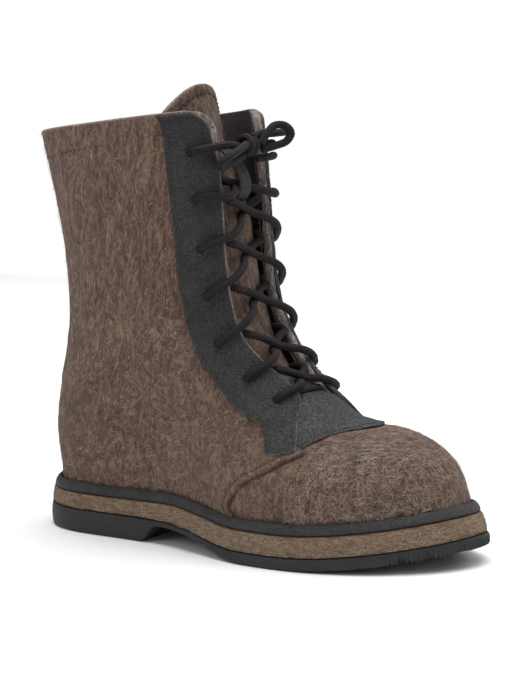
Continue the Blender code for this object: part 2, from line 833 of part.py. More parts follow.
def add_crossings(material):
    """The lace's crossings, each two strands joined where they touch."""
    rows = [eyelet_y(place, -1) for place in eyelet_places(-1)]
    for k in range(1, len(rows)):
        over = strand_path(rows[k], rows[k - 1], 1, CROSS_APART, k == 1)
        under = strand_path(rows[k], rows[k - 1], -1, 0.0, k == 1)
        item = add_strand(f"lace_cross_{k}", over, 0.5 * LACE, material)
        partner = as_tool(add_strand(f"strand_under_{k}", under, 0.5 * LACE, material))
        join = item.modifiers.new("join", "BOOLEAN")
        join.operation = "UNION"
        join.solver = "EXACT"
        join.object = partner


def add_bar(material):
    """Lowest run of the lace, across the gusset."""
    section = eyelet_places(-1)[-1][0]
    half = float(edge_half(section)) - BAR_END
    y = np.linspace(-half, half, 9)
    s = np.full(y.shape, section)
    rise = gusset_rise(s, y) + 0.5 * LACE + GAP + 0.1
    add_strand("lace_bar", panel_points(s, y, rise), 0.5 * LACE, material)


def add_eyelet_tools(material):
    """Hidden cylinders square to the surface at the eyelets of each side."""
    tools = {}
    for side in (-1, 1):
        rings = []
        faces = []
        for s, v in eyelet_places(side):
            foot = last_surface(s, v, side)
            normal = lifted(s, v, side, 1.0) - foot
            ends = np.stack((foot - 9.0 * normal, foot + 6.0 * normal))
            start = len(rings) * 12
            rings += list(rings_along(ends, 0.5 * EYELET_BORE, 12))
            faces += [face[::-1] for face in closed_faces(2, 12, start)]
            faces += [tuple(range(start, start + 12)), tuple(range(start + 23, start + 11, -1))]
        name = "lateral_eyelets" if side < 0 else "medial_eyelets"
        tools[side] = as_tool(add_object(name, np.concatenate(rings), faces, material))
    return tools


def add_cord(name, route, material, spacing=10.0):
    """Free stretch of lace along a route of points listed by hand."""
    route = np.array(route, dtype=float)
    run = arc(route)
    at = np.linspace(0.0, run[-1], max(int(run[-1] / spacing) + 2, 4))
    smooth = np.stack([smooth_curve(run, route[:, k], at) for k in range(3)], axis=-1)
    curve = bpy.data.curves.new(name, "CURVE")
    curve.dimensions = "3D"
    curve.bevel_depth = 0.5 * LACE * MM
    curve.bevel_resolution = 3
    curve.resolution_u = 1
    curve.render_resolution_u = 0
    curve.use_fill_caps = True
    spline = curve.splines.new("POLY")
    spline.points.add(len(at) - 1)
    for point, place in zip(spline.points, swing_to_right(smooth) * MM):
        point.co = (*place, 1.0)
    curve.materials.append(material)
    item = bpy.data.objects.new(name, curve)
    bpy.context.collection.objects.link(item)
    return item


# Middle of the knot, and routes of the free lace on the straight last, in millimetres.
KNOT = (139.0, 0.0, 243.2)
KNOT_ROUTE = (
    (136.0, -3.0, 239.7),
    (141.5, -2.6, 238.8),
    (144.6, -1.8, 243.2),
    (141.5, -0.8, 247.8),
    (136.0, 0.2, 247.4),
    (133.6, 1.0, 243.2),
    (136.4, 1.9, 238.8),
    (141.8, 2.6, 238.8),
    (144.4, 3.2, 243.4),
    (142.6, 3.6, 247.2),
)
MEDIAL_LOOP = (
    (145.6, 6.7, 244.9),
    (147.4, 12.0, 251.8),
    (149.0, 17.0, 255.4),
    (153.0, 20.5, 255.0),
    (156.0, 22.0, 250.8),
    (154.5, 20.5, 246.0),
    (150.0, 15.5, 243.0),
    (145.0, 9.0, 240.8),
)
LATERAL_LOOP = (
    (143.2, -6.2, 244.0),
    (146.2, -14.7, 242.7),
    (148.5, -24.3, 240.2),
    (148.0, -32.5, 237.2),
    (145.8, -35.6, 234.2),
    (143.1, -32.9, 231.8),
    (142.1, -26.3, 231.8),
    (141.2, -18.8, 233.5),
    (141.0, -11.4, 235.5),
    (140.6, -5.8, 237.3),
)
MEDIAL_END = (
    (139.5, 8.0, 248.2),
    (142.0, 13.0, 250.2),
    (144.5, 20.0, 250.2),
    (146.5, 28.0, 250.7),
    (147.0, 37.0, 251.2),
)
LATERAL_END = (
    (142.0, 8.0, 235.2),
    (144.0, 13.0, 235.7),
    (144.0, 20.5, 236.2),
    (140.7, 28.5, 236.4),
    (135.4, 36.6, 236.0),
)


def tie_route(side):
    """Way of the lace from the top eyelet over the facing to the knot."""
    s, reach_y = eyelet_y(eyelet_places(side)[0], side)
    y = side * np.linspace(abs(reach_y), 22.0, 4)
    rise = OVER_FACING - side * GAP
    over = panel_points(np.full(y.shape, s), y, np.full(y.shape, rise))
    stop = np.array(KNOT) + (-0.5, side * 8.5, 0.0)
    middle = 0.5 * (over[-1] + stop) + (0.8, 0.0, 0.0)
    return np.vstack((over, middle, stop))


def build():
    """Every piece of the boot."""
    for item in list(bpy.data.objects):
        bpy.data.objects.remove(item, do_unlink=True)
    rubber = plain_material("black_rubber", (0.025, 0.024, 0.023), 0.75)
    pressed = plain_material("pressed_felt", (0.20, 0.175, 0.13), 0.95)
    slate = plain_material("slate_leather", (0.075, 0.08, 0.088), 0.6)
    board = plain_material("insole_board", (0.30, 0.26, 0.20), 0.9)
    felt = plain_material("grey_brown_felt", (0.23, 0.205, 0.17), 0.97)
    cord = plain_material("dark_lace", (0.022, 0.016, 0.014), 0.8)
    add_outsole(rubber)
    add_midsole(pressed)
    add_welt(slate)
    add_insole(board)
    tools = add_eyelet_tools(slate)
    upper = add_upper(felt)
    for side, name in ((-1, "lateral_facing"), (1, "medial_facing")):
        cut(add_facing(name, side, slate), tools[side])
        cut(upper, tools[side])
    add_gusset(slate)
    add_tongue(felt)
    add_keeper(slate)
    add_crossings(cord)
    add_bar(cord)
    add_cord("lace_knot", KNOT_ROUTE, cord)
    add_cord("lace_tie_lateral", tie_route(-1), cord)
    add_cord("lace_tie_medial", tie_route(1), cord)
    add_cord("lace_loop_lateral", LATERAL_LOOP, cord)
    add_cord("lace_loop_medial", MEDIAL_LOOP, cord)
    add_cord("lace_end_lateral", LATERAL_END, cord)
    add_cord("lace_end_medial", MEDIAL_END, cord)


build()
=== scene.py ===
"""A felt boot for the right foot: felt upper, leather facings, lace, felt midsole and rubber sole."""

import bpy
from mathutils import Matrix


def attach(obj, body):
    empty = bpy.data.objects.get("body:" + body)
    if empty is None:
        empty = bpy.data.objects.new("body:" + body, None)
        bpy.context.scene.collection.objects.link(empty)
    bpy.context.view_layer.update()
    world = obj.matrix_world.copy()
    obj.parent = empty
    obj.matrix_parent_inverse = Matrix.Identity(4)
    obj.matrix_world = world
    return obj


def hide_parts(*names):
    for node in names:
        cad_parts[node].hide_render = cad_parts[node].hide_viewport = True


bl_info = {
    "name": "Felt boot",
    "version": (1, 0, 0),
    "blender": (4, 5, 0),
    "location": "3D View > Sidebar > Boot",
    "description": "Makes the pieces and finishes of a lace-up felt boot over its solid model",
    "category": "Object",
}

import math

import bmesh
import bpy
import numpy as np

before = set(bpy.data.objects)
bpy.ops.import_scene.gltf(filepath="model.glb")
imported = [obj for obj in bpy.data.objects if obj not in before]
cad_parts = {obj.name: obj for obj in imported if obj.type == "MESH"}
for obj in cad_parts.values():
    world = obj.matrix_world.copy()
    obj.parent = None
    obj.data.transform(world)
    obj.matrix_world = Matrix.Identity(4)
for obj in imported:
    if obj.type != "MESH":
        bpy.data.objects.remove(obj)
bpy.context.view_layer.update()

MM = 0.001

# Sole unit, in millimetres from the floor up
LENGTH = 296.0
HEEL_REST = 39.0
OUTSOLE = 7.6
HEEL_LIFT = 7.5
HEEL_BREAST = 86.0
BREAST_RUN = 13.0
MIDSOLE_FORE = 12.6
MIDSOLE_HEEL = 9.9
WELT = 6.6
TOE_SPRING = 12.0
SPRING_START = 200.0
UPPER_INSET = 8.0
ARCH_SHEET = 3.6
ARCH_END = (130.0, 50.0)
TREAD_RUNS = ((6.0, 82.0), (186.0, 292.0))
LUG_PITCH = 11.0
LUG = 6.5
LUG_FLANK = 1.2
GROOVE = 2.6
TOE_TEETH = 262.0
TOOTH_PITCH = 2.6
HEEL_TEETH = 10.0

# Upper
WALL = 5.0
BULGE = 3.5
CORNER = 16.0
EYELET_RUNS = (23.0, 49.0, 76.5, 103.5, 133.0, 161.0, 183.5)
EYELET_IN = (18.5, 15.0)
EYELET_BORE = 5.6
LACE = 4.8
TONGUE_LOW = 9.6
TONGUE_HIGH = 19.95
TONGUE_ARCH = 0.6
TONGUE_RADIUS = 46.0
TONGUE_FOOT = 26.5
TONGUE_HALF = 38.0
TONGUE_DEPTH = 12.4
TONGUE_LEAN = 14.6
LEAN_START = 17.0
LEAN_RUN = 3.2
KEEPER_WIDTH = 11.0
KEEPER_LOW = 17.65
KEEPER_HIGH = 19.25
KEEPER_Y = -2.0
KEEPER_STAND = 15.0
OVER_FACING = 5.4
CROSS_MIDDLE = -1.3
LACE_EASE = 2.0
CROSS_END = 5.5
CROSS_CLIMB = 0.82
FIRST_CLIMB = 0.3
STRAND_OVER = 3.6
STRAND_UNDER = -0.7
LINING_WIDTH = 58.0

# Millimetres over the surface to one section: by the collar, the gusset's edge and the facings' feet
COLLAR_PITCH = 23.0
GUSSET_PITCH = 11.0
FOOT_PITCH = 9.0

# Distance of each sewn channel from its piece's edge
COLLAR_CHANNEL = 9.5
SEAM_CHANNEL = 4.2
FACING_CHANNEL = 3.2
GUSSET_CHANNEL = 2.6
TONGUE_CHANNEL = 6.2

# Pitch, length and thickness of the stitches
COLLAR_STITCH = (4.0, 2.7, 0.8)
SEAM_STITCH = (3.6, 2.5, 0.7)
FACING_STITCH = (3.2, 2.3, 0.55)
GUSSET_STITCH = (3.0, 2.2, 0.5)
TONGUE_STITCH = (4.0, 2.8, 0.8)

# Loose fibres: spread of the turn at each step, greatest usual height and number of steps
FIBRE_CURL = 0.5
FIBRE_STAND = 0.6
FIBRE_STEPS = 7

# Fineness of the meshes: step along the lace, points round it, round an eyelet, along half the plan,
# and along and round a stitch
LACE_STEP = 1.6
TUBE_SIDES = 14
EYELET_SIDES = 20
RING_POINTS = 300
STITCH_RINGS = 5
STITCH_SIDES = 6

# Sine waves in a random field
WAVES = 9

# Camera in metres and degrees, and half width of the floor
LENS = 103.85
EYE_PLACE = (0.711, -1.03923, 0.285)
EYE_TILT = 82.306
EYE_TURN = 30.098
FLOOR_HALF = 1.25

# Section, half width of the throat and width of the facing.
EDGES = np.array((
    (7.45, 43.0, 1.5),
    (7.95, 35.5, 15.5),
    (8.4, 30.0, 26.0),
    (8.95, 21.5, 28.5),
    (9.4, 15.5, 31.0),
    (10.0, 15.2, 33.5),
    (11.0, 19.5, 31.5),
    (12.3, 24.5, 30.5),
    (13.8, 25.0, 33.0),
    (15.5, 25.0, 34.0),
    (20.0, 25.0, 33.5),
))
# Place along the sole, lateral and medial half widths.
PLAN = np.array((
    (0.0, 38.0, 37.0),
    (45.0, 40.0, 38.0),
    (100.0, 43.0, 36.0),
    (140.0, 53.0, 40.0),
    (180.0, 61.5, 47.0),
    (215.0, 62.0, 52.0),
    (250.0, 57.0, 52.0),
    (280.0, 51.0, 48.0),
    (300.0, 46.0, 44.0),
))
HEEL_ROUND = 44.0
TOE_ROUND = 85.0
END_POWER = 2.25
SWING = 8.0
JOINT_LEAN = 0.15
# Ridge x and z, station on the sole, and rounding of each section from the toe back to the heel.
FOOT = np.array((
    (282.6, 33.5, 287.0, 0.95),
    (280.9, 42.0, 285.6, 0.95),
    (278.0, 50.5, 283.0, 0.95),
    (271.7, 60.0, 277.3, 0.93),
    (261.5, 68.5, 267.5, 0.90),
    (248.0, 74.5, 251.0, 0.86),
    (231.0, 78.5, 230.0, 0.84),
    (214.0, 80.5, 205.0, 0.82),
    (203.0, 84.0, 182.0, 0.80),
    (193.0, 92.0, 157.0, 0.76),
    (181.0, 103.5, 128.0, 0.70),
    (169.5, 117.5, 96.0, 0.63),
    (161.0, 132.5, 62.0, 0.55),
    (155.0, 148.0, 30.0, 0.49),
    (151.0, 162.0, 8.0, 0.46),
))
# The same with the height on the back of the boot, up to above the collar.
SHAFT = np.array((
    (148.5, 176.0, 58.0, 0.46),
    (146.5, 190.0, 88.0, 0.48),
    (145.0, 204.0, 120.0, 0.50),
    (143.5, 220.0, 158.0, 0.51),
    (141.5, 240.0, 204.0, 0.51),
    (139.0, 267.0, 250.0, 0.50),
    (136.5, 290.0, 273.0, 0.50),
))
COLLAR = len(FOOT) + len(SHAFT) - 2
THROAT = 9
HEEL_CORNER = len(FOOT) - 1
TOP_POWER = 2.35
# Height and x of the line of the boot's back, and height and half width of the shaft.
BACK = np.array((
    (0.0, 8.0),
    (38.0, 8.0),
    (46.0, 7.4),
    (58.0, 6.6),
    (72.0, 7.0),
    (95.0, 11.0),
    (112.0, 15.3),
    (129.0, 18.3),
    (157.0, 18.8),
    (180.0, 16.4),
    (208.0, 11.0),
    (250.0, 1.0),
    (290.0, -8.5),
))
GIRTH = np.array((
    (0.0, 45.0),
    (110.0, 46.5),
    (150.0, 48.0),
    (200.0, 51.0),
    (255.0, 53.5),
    (290.0, 54.5),
))

# Place round the vamp and section of the seam where the quarters lie over it.
SEAM = np.array((
    (0.0, 7.15),
    (0.247, 7.18),
    (0.328, 7.63),
    (0.44, 8.08),
    (0.579, 8.63),
    (0.737, 8.93),
    (0.853, 8.98),
    (0.907, 8.78),
    (1.0, 8.55),
))
# Distances of the felt's rows from the seam, behind it if positive.
SEAM_ROWS = np.array((-3.2, -2.3, -1.7, -1.2, -0.8, -0.4, 0.0, 0.4, 0.8, 1.3, 2.2, 3.2, 4.2, 5.2, 6.4))
# Section and place of the stiffener's edge under the felt of the heel.
COUNTER = np.array((
    (15.1, 1.0),
    (14.9, 0.84),
    (14.62, 0.668),
    (12.72, 0.656),
    (12.32, 0.687),
    (11.77, 0.784),
    (11.52, 0.826),
    (11.3, 1.0),
))
# Sections and places of each crease of the ankle, its rise in millimetres and its half width.
CREASES = (
    (np.array(((11.2, 0.34), (11.5, 0.5), (11.9, 0.68))), -0.9, 7.0),
    (np.array(((12.8, 0.3), (12.9, 0.48), (13.2, 0.62))), -0.7, 8.0),
    (np.array(((14.0, 0.34), (14.6, 0.52), (15.4, 0.7))), -0.5, 9.0),
    (np.array(((9.6, 0.36), (9.9, 0.5), (10.2, 0.64))), 0.6, 8.0),
)
# Distance from the axis and section of the gusset's lower edge.
GUSSET_EDGE = np.array(((0.0, 6.1), (11.0, 6.24), (24.0, 6.68), (34.0, 7.03), (41.0, 7.3)))


# ---------------------------------------------------------------- the last


def smooth_step(t):
    """Rise from 0 to 1 with level ends: 3t2 - 2t3."""
    t = np.clip(t, 0.0, 1.0)
    return t * t * (3.0 - 2.0 * t)


def hump(t):
    """Bell of height 1 at t = 0: e to the minus t squared."""
    return np.exp(-np.minimum(t * t, 60.0))


def edge_fall(distance, radius):
    """Part by which a rounded edge falls at a distance in from it: 1 minus the height of a circle."""
    return 1.0 - np.sqrt(np.clip(1.0 - np.clip(1.0 - distance / radius, 0.0, 1.0) ** 2, 0.0, 1.0))


def unit(vectors, least=1e-9):
    """Vectors brought to length 1."""
    return vectors / np.maximum(np.linalg.norm(vectors, axis=-1, keepdims=True), least)


def matched(*values):
    """Values as floats of one common shape."""
    return np.broadcast_arrays(*(np.asarray(k, dtype=float) for k in values))


def round_end(t, power=END_POWER):
    """Superellipse quarter: 0 at t = 0, level at 1 from t = 1."""
    t = np.clip(t, 0.0, 1.0)
    return (1.0 - (1.0 - t) ** power) ** (1.0 / power)


def smooth_curve(knots, values, at):
    """Cubic curve through the values, with each slope taken from its two neighbours."""
    knots = np.asarray(knots, dtype=float)
    values = np.asarray(values, dtype=float)
    at = np.clip(np.asarray(at, dtype=float), knots[0], knots[-1])
    slope = np.gradient(values, knots)
    i = np.clip(np.searchsorted(knots, at, side="right") - 1, 0, len(knots) - 2)
    span = knots[i + 1] - knots[i]
    t = (at - knots[i]) / span
    start = (1.0 + 2.0 * t) * (1.0 - t) ** 2 * values[i] + t * (1.0 - t) ** 2 * span * slope[i]
    end = t * t * (3.0 - 2.0 * t) * values[i + 1] + t * t * (t - 1.0) * span * slope[i + 1]
    return start + end


def read(table, at, column=1):
    """Column of a table read as a smooth curve over its first column."""
    return smooth_curve(table[:, 0], table[:, column], at)


def swing_to_right(points):
    """Turn points of the straight last into the right foot's, measured from the heel's middle lug."""
    points = np.array(points, dtype=float)
    x = points[..., 0].copy()
    y = points[..., 1].copy()
    points[..., 0] = x + JOINT_LEAN * smooth_step((x - 110.0) / 80.0) * y - HEEL_REST
    points[..., 1] = y + SWING * np.clip((x - 150.0) / (LENGTH - 150.0), 0.0, 1.1) ** 2
    return points


def plan_half(station, side):
    """Half width of the sole's plan before its ends are rounded."""
    return np.where(np.asarray(side) < 0, read(PLAN, station, 1), read(PLAN, station, 2))


def outline(station, side, inset):
    """Y of the sole's plan, drawn in by the inset."""
    toe = round_end((LENGTH - inset - station) / (TOE_ROUND - inset))
    heel = round_end((station - inset) / (HEEL_ROUND - inset))
    return side * (plan_half(station, side) - inset) * toe * heel


def spring(station):
    """Rise of the sole's underside towards the toe."""
    return TOE_SPRING * np.clip((station - SPRING_START) / (LENGTH - SPRING_START), 0.0, 1.2) ** 1.8


def spring_turn(station):
    """Angle of the sole's underside."""
    run = LENGTH - SPRING_START
    return np.arctan(1.8 * TOE_SPRING / run * np.clip((station - SPRING_START) / run, 0.0, 1.2) ** 0.8)


def bend(station, height):
    """X and Z of a point at a height over the sprung sole."""
    turn = spring_turn(station)
    return station - height * np.sin(turn), spring(station) + height * np.cos(turn)


def unbend(x, z):
    """Station and height of a point, the other way round."""
    station = np.array(x, dtype=float)
    for _ in range(12):
        height = (z - spring(station)) / np.cos(spring_turn(station))
        station = x + height * np.sin(spring_turn(station))
    return station, (z - spring(station)) / np.cos(spring_turn(station))


def midsole_bottom(station):
    """Height of the midsole's underside: it drops from the heel to the forefoot."""
    return OUTSOLE + HEEL_LIFT * smooth_step((172.0 - station) / 68.0)


def midsole_top(station):
    """Height of the midsole's upper face."""
    felt = MIDSOLE_HEEL + (MIDSOLE_FORE - MIDSOLE_HEEL) * smooth_step((station - 60.0) / 110.0)
    return midsole_bottom(station) + felt


def on_feather(station):
    """Station and height where the upper's foot meets the midsole."""
    return station, midsole_top(station) + 0.6 + 0.5 * smooth_step((station - 255.0) / 30.0)


def section_ends(s):
    """Ridge point, base point and rounding of the sections at the places s."""
    s = np.asarray(s, dtype=float)
    index = np.arange(COLLAR + 2)
    rows = np.vstack((FOOT, SHAFT))
    ridge_x, ridge_z, rounding = (smooth_curve(index, rows[:, k], s) for k in (0, 1, 3))
    foot_x, foot_z = bend(*on_feather(smooth_curve(index[: HEEL_CORNER + 1], FOOT[:, 2], s)))
    backs = np.concatenate(([float(on_feather(UPPER_INSET)[1])], SHAFT[:, 2]))
    shaft_z = smooth_curve(index[HEEL_CORNER:], backs, s)
    on_foot = s <= HEEL_CORNER
    base_x = np.where(on_foot, foot_x, read(BACK, shaft_z))
    return ridge_x, ridge_z, base_x, np.where(on_foot, foot_z, shaft_z), rounding


def last_surface(s, v, side):
    """Point of the straight last's outside: section s, from the ridge (v = 0) to the base (v = 1)."""
    ridge_x, ridge_z, base_x, base_z, rounding = section_ends(s)
    x = ridge_x + v * (base_x - ridge_x)
    z = ridge_z + v * (base_z - ridge_z)
    station, height = unbend(x, z)
    swell = BULGE * smooth_step((height - midsole_top(station) - WELT - 1.0) / 22.0)
    foot_half = plan_half(station, side) - UPPER_INSET + swell
    rise = smooth_step((height - 46.0) / 84.0)
    toe = round_end((LENGTH - UPPER_INSET - station) / (TOE_ROUND - UPPER_INSET))
    heel_run = HEEL_ROUND - UPPER_INSET + 24.0 * smooth_step((z - 44.0) / 90.0)
    heel = round_end((x - read(BACK, z)) / heel_run)
    top = round_end(v / rounding, TOP_POWER)
    y = side * ((1.0 - rise) * foot_half + rise * read(GIRTH, z)) * toe * heel * top
    return np.stack(np.broadcast_arrays(x, y, z), axis=-1)


def outward(s, v, side):
    """Unit direction square to the last: the cross product of its two slopes."""
    step = 0.004
    along = last_surface(np.minimum(s + step, COLLAR + 1), v, side) - last_surface(s - step, v, side)
    across = last_surface(s, np.clip(v + step, 0.0, 1.0), side)
    across = across - last_surface(s, np.clip(v - step, 0.0, 1.0), side)
    return unit(-np.cross(along, across) * np.asarray(side)[..., None])


def lifted(s, v, side, rise):
    """Point of the last's outside moved outwards by rise (inwards if negative)."""
    s, v, side, rise = matched(s, v, side, rise)
    return last_surface(s, v, side) + rise[..., None] * outward(s, v, side)


def arc(points):
    """Running length along a row of points."""
    steps = np.linalg.norm(np.diff(points, axis=0), axis=1)
    return np.concatenate(([0.0], np.cumsum(steps)))


def front_v(s, y):
    """Place on the front half of section s where the last is y from its axis, by halving."""
    s, y = matched(s, np.abs(y))
    low = np.zeros(s.shape)
    high = section_ends(s)[4] * np.ones(s.shape)
    for _ in range(26):
        middle = 0.5 * (low + high)
        inside = np.abs(last_surface(s, middle, -1.0)[..., 1]) < y
        low = np.where(inside, middle, low)
        high = np.where(inside, high, middle)
    return 0.5 * (low + high)


def edge_half(s):
    """Half width of the throat between the facings' front edges."""
    return read(EDGES, s)


def corner_rise(s):
    """How far the throat's edge draws back in the round top corners."""
    return CORNER * edge_fall(section_ends(COLLAR)[1] - section_ends(s)[1], CORNER)


def throat_v(s):
    """Place of the throat's edge on each section, 0 below the throat."""
    table = np.concatenate((np.linspace(THROAT, 9.5, 60), np.linspace(9.55, COLLAR, 260)))
    half = edge_half(np.maximum(table, 9.4)) * round_end((table - THROAT) / 0.35, 3.0)
    half = half + corner_rise(table)
    return np.interp(s, table, np.where(table > THROAT, front_v(table, half), 0.0), left=0.0)


def reach(s, side, starts, distance):
    """Places on the sections s that lie a distance over the surface from the places starts."""
    part = np.linspace(0.0, 1.0, 120)[:, None]
    v = starts + (1.0 - starts) * part
    points = last_surface(s + 0.0 * v, v, side)
    steps = np.linalg.norm(np.diff(points, axis=0), axis=-1)
    run = np.concatenate((0.0 * v[:1], np.cumsum(steps, axis=0)))
    return np.array([np.interp(distance[k], run[:, k], v[:, k]) for k in range(len(s))])


def eyelet_places(side):
    """Section and place of each eyelet, from the top down."""
    s = np.linspace(COLLAR, 9.4, 300)
    run = arc(last_surface(s, front_v(s, edge_half(s)), side))
    rows = np.interp(EYELET_RUNS, run, s)
    inwards = np.interp(np.arange(len(rows)), (0.0, len(rows) - 1.0), EYELET_IN)
    return rows, reach(rows, side, front_v(rows, edge_half(rows)), inwards)


def over_front(s, y, rise):
    """Points over the front of the last, at y from its axis and moved outwards by rise."""
    s, y, rise = matched(s, y, rise)
    return lifted(s, front_v(s, y), np.where(y < 0.0, -1.0, 1.0), rise)


def sagitta(s, y):
    """How far the last falls back from its ridge at y."""
    ridge_x, ridge_z, base_x, base_z, _ = section_ends(s)
    return front_v(s, y) * np.hypot(base_x - ridge_x, base_z - ridge_z)


def tongue_depth(s):
    """How far the tongue's middle lies behind the ridge: it leans back above the lace."""
    return TONGUE_DEPTH + TONGUE_LEAN * smooth_step((s - LEAN_START) / LEAN_RUN)


def tongue_drop(y):
    """How far the tongue's front falls back at y, as a circle does."""
    return TONGUE_RADIUS - np.sqrt(TONGUE_RADIUS**2 - y**2)


def on_tongue(s, y, rise=0.0):
    """Point of the tongue's front, which is round about the leg, moved forwards by rise."""
    ridge_x, ridge_z, base_x, base_z, _ = section_ends(s)
    length = np.hypot(base_x - ridge_x, base_z - ridge_z)
    back = (tongue_depth(s) + tongue_drop(y) - rise) / length
    x = ridge_x + back * (base_x - ridge_x)
    z = ridge_z + back * (base_z - ridge_z)
    return np.stack(np.broadcast_arrays(x, y, z), axis=-1)


def uneven(points, size, seed):
    """Smooth random field: the sum of sine waves of about one length in random directions."""
    rng = np.random.default_rng(seed)
    ways = rng.normal(size=(WAVES, 3))
    ways *= 2.0 * math.pi / (np.linalg.norm(ways, axis=1) * size * rng.uniform(0.7, 1.4, WAVES))[:, None]
    return np.sin(points @ ways.T + rng.uniform(0.0, 6.28, WAVES)).sum(axis=-1) / math.sqrt(WAVES)


# ---------------------------------------------------------------- meshes


def add_item(name, data):
    """Object in the scene from its mesh, lamp or camera."""
    item = bpy.data.objects.new(name, data)
    bpy.context.scene.collection.objects.link(item)
    return item


def new_piece(name, points, faces, materials, indices=None, uv=None, shade=None, merge=0.0):
    """Piece from points of the straight last in millimetres, swung to the right foot.

    Faces are quads, indices picks each one's material, uv is per point and shade is a number per point.
    """
    mesh = bpy.data.meshes.new(name)
    points = swing_to_right(points) * MM
    faces = np.asarray(faces, dtype=np.int32)
    mesh.vertices.add(len(points))
    mesh.vertices.foreach_set("co", points.astype(np.float32).ravel())
    mesh.loops.add(faces.size)
    mesh.loops.foreach_set("vertex_index", faces.ravel())
    mesh.polygons.add(len(faces))
    mesh.polygons.foreach_set("loop_start", np.arange(0, faces.size, faces.shape[1], dtype=np.int32))
    if indices is not None:
        mesh.polygons.foreach_set("material_index", np.asarray(indices, dtype=np.int32))
    mesh.update(calc_edges=True)
    if uv is not None:
        layer = mesh.uv_layers.new(name="UVMap")
        layer.data.foreach_set("uv", uv[faces.ravel()].astype(np.float32).ravel())
    if shade is not None:
        layer = mesh.attributes.new("shade", "FLOAT", "POINT")
        layer.data.foreach_set("value", np.asarray(shade, dtype=np.float32).ravel())
    for material in materials:
        mesh.materials.append(material)
    if merge:
        shape = bmesh.new()
        shape.from_mesh(mesh)
        bmesh.ops.remove_doubles(shape, verts=shape.verts, dist=merge * MM)
        bmesh.ops.dissolve_degenerate(shape, edges=shape.edges, dist=0.001 * MM)
        shape.to_mesh(mesh)
        shape.free()
    mesh.validate()
    mesh.shade_smooth()
    mesh.set_sharp_from_angle(angle=math.radians(50.0))
    return add_item(name, mesh)


def finish_piece(item, slot, *nodes):
    """The piece moves with the boot and stands for its solid nodes, which are hidden."""
    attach(item, "root")
    if nodes:
        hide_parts(*nodes)
    return item


def grid_quads(rows, columns, start=0, flip=False, ring=False):
    """Quads of a grid of points stored row by row, closed across the columns if it is a ring."""
    i = np.arange(rows - 1)[:, None]
    j = np.arange(columns if ring else columns - 1)[None, :]
    a = (start + i * columns + j).ravel()
    b = (start + i * columns + (j + 1) % columns).ravel()
    quads = np.stack((a, a + columns, b + columns, b), axis=1)
    return quads[:, ::-1] if flip else quads


def copies(quads, count, size):
    """The quads of one small mesh for a count of such meshes, each with a size in points."""
    return (quads[None] + size * np.arange(count)[:, None, None]).reshape(-1, 4)


def sheet_mesh(outer, inner, flip):
    """Closed sheet from its two faces: grids of the same size joined by a rim round their edges."""
    rows, columns = outer.shape[:2]
    size = rows * columns
    front = grid_quads(rows, columns, 0, flip)
    back = grid_quads(rows, columns, size, not flip)
    k = np.arange(size).reshape(rows, columns)
    loop = np.concatenate((k[0, :-1], k[:-1, -1], k[-1, :0:-1], k[:0:-1, 0]))
    ahead = np.roll(loop, -1)
    rim = np.stack((loop, ahead, ahead + size, loop + size), axis=1)
    rim = rim[:, ::-1] if flip else rim
    points = np.concatenate((outer.reshape(-1, 3), inner.reshape(-1, 3)))
    kinds = np.repeat((0, 1, 2), (len(front), len(back), len(rim)))
    return points, np.concatenate((front, back, rim)), kinds


def joined(parts):
    """One set of points, faces and a third value, such as kinds or UV, from several."""
    points, faces, others = zip(*parts)
    starts = np.cumsum([0] + [len(part) for part in points[:-1]])
    faces = [part + start for part, start in zip(faces, starts)]
    return np.concatenate(points), np.concatenate(faces), np.concatenate(others)


def on_front(dark):
    """Painted shade of a sheet's points: as given on its outer face, and none on its inner face."""
    return np.concatenate((dark.ravel(), np.zeros(dark.size)))


def along_route(route):
    """Smooth curve through a list of points, read at even steps of its length."""
    route = np.asarray(route, dtype=float)
    run = arc(route)
    at = np.linspace(0.0, run[-1], max(int(run[-1] / LACE_STEP) + 2, 4))
    curve = np.stack([smooth_curve(run, route[:, k], at) for k in range(3)], axis=-1)
    run = arc(curve)
    at = np.linspace(0.0, run[-1], len(at))
    return np.stack([np.interp(at, run, curve[:, k]) for k in range(3)], axis=-1)


def frames_along(path):
    """Directions ahead, across and up along a path, each turned as little as it can be from the last."""
    ahead = unit(np.gradient(path, axis=0))
    across = np.empty_like(ahead)
    side = np.cross(ahead[0], (0.05, 0.3, 1.0))
    for k, way in enumerate(ahead):
        side = side - way * (side @ way)
        side /= np.linalg.norm(side)
        across[k] = side
    return ahead, across, np.cross(ahead, across)


def circles(across, up, turn):
    """Unit circles in the planes of the directions across and up, read at the angles turn."""
    return np.cos(turn)[:, None] * across[..., None, :] + np.sin(turn)[:, None] * up[..., None, :]


def tube_mesh(path, radius):
    """Closed round cord: circles square to a path, drawn to a blunt end at both ends. UV runs in mm."""
    ahead, across, up = frames_along(path)
    ends = np.array((0.0, 0.55, 0.88, 1.0))
    share = np.concatenate((ends, np.ones(len(path)), ends[::-1]))
    shift = np.concatenate(((-0.5, -0.44, -0.25, -0.02), np.zeros(len(path)), (0.02, 0.25, 0.44, 0.5)))
    pick = np.concatenate((np.zeros(4, int), np.arange(len(path)), np.full(4, len(path) - 1)))
    turn = np.linspace(0.0, 2.0 * math.pi, TUBE_SIDES + 1)
    circle = circles(across[pick], up[pick], turn)
    middle = path[pick] + (shift * radius)[:, None] * ahead[pick]
    points = middle[:, None] + (radius * np.maximum(share, 0.002))[:, None, None] * circle
    run = arc(path)[pick] + shift * radius
    uv = np.stack(np.broadcast_arrays(run[:, None], turn[None, :]), axis=-1)
    faces = grid_quads(len(pick), TUBE_SIDES + 1, 0, True)
    return points.reshape(-1, 3), faces, uv.reshape(-1, 2)


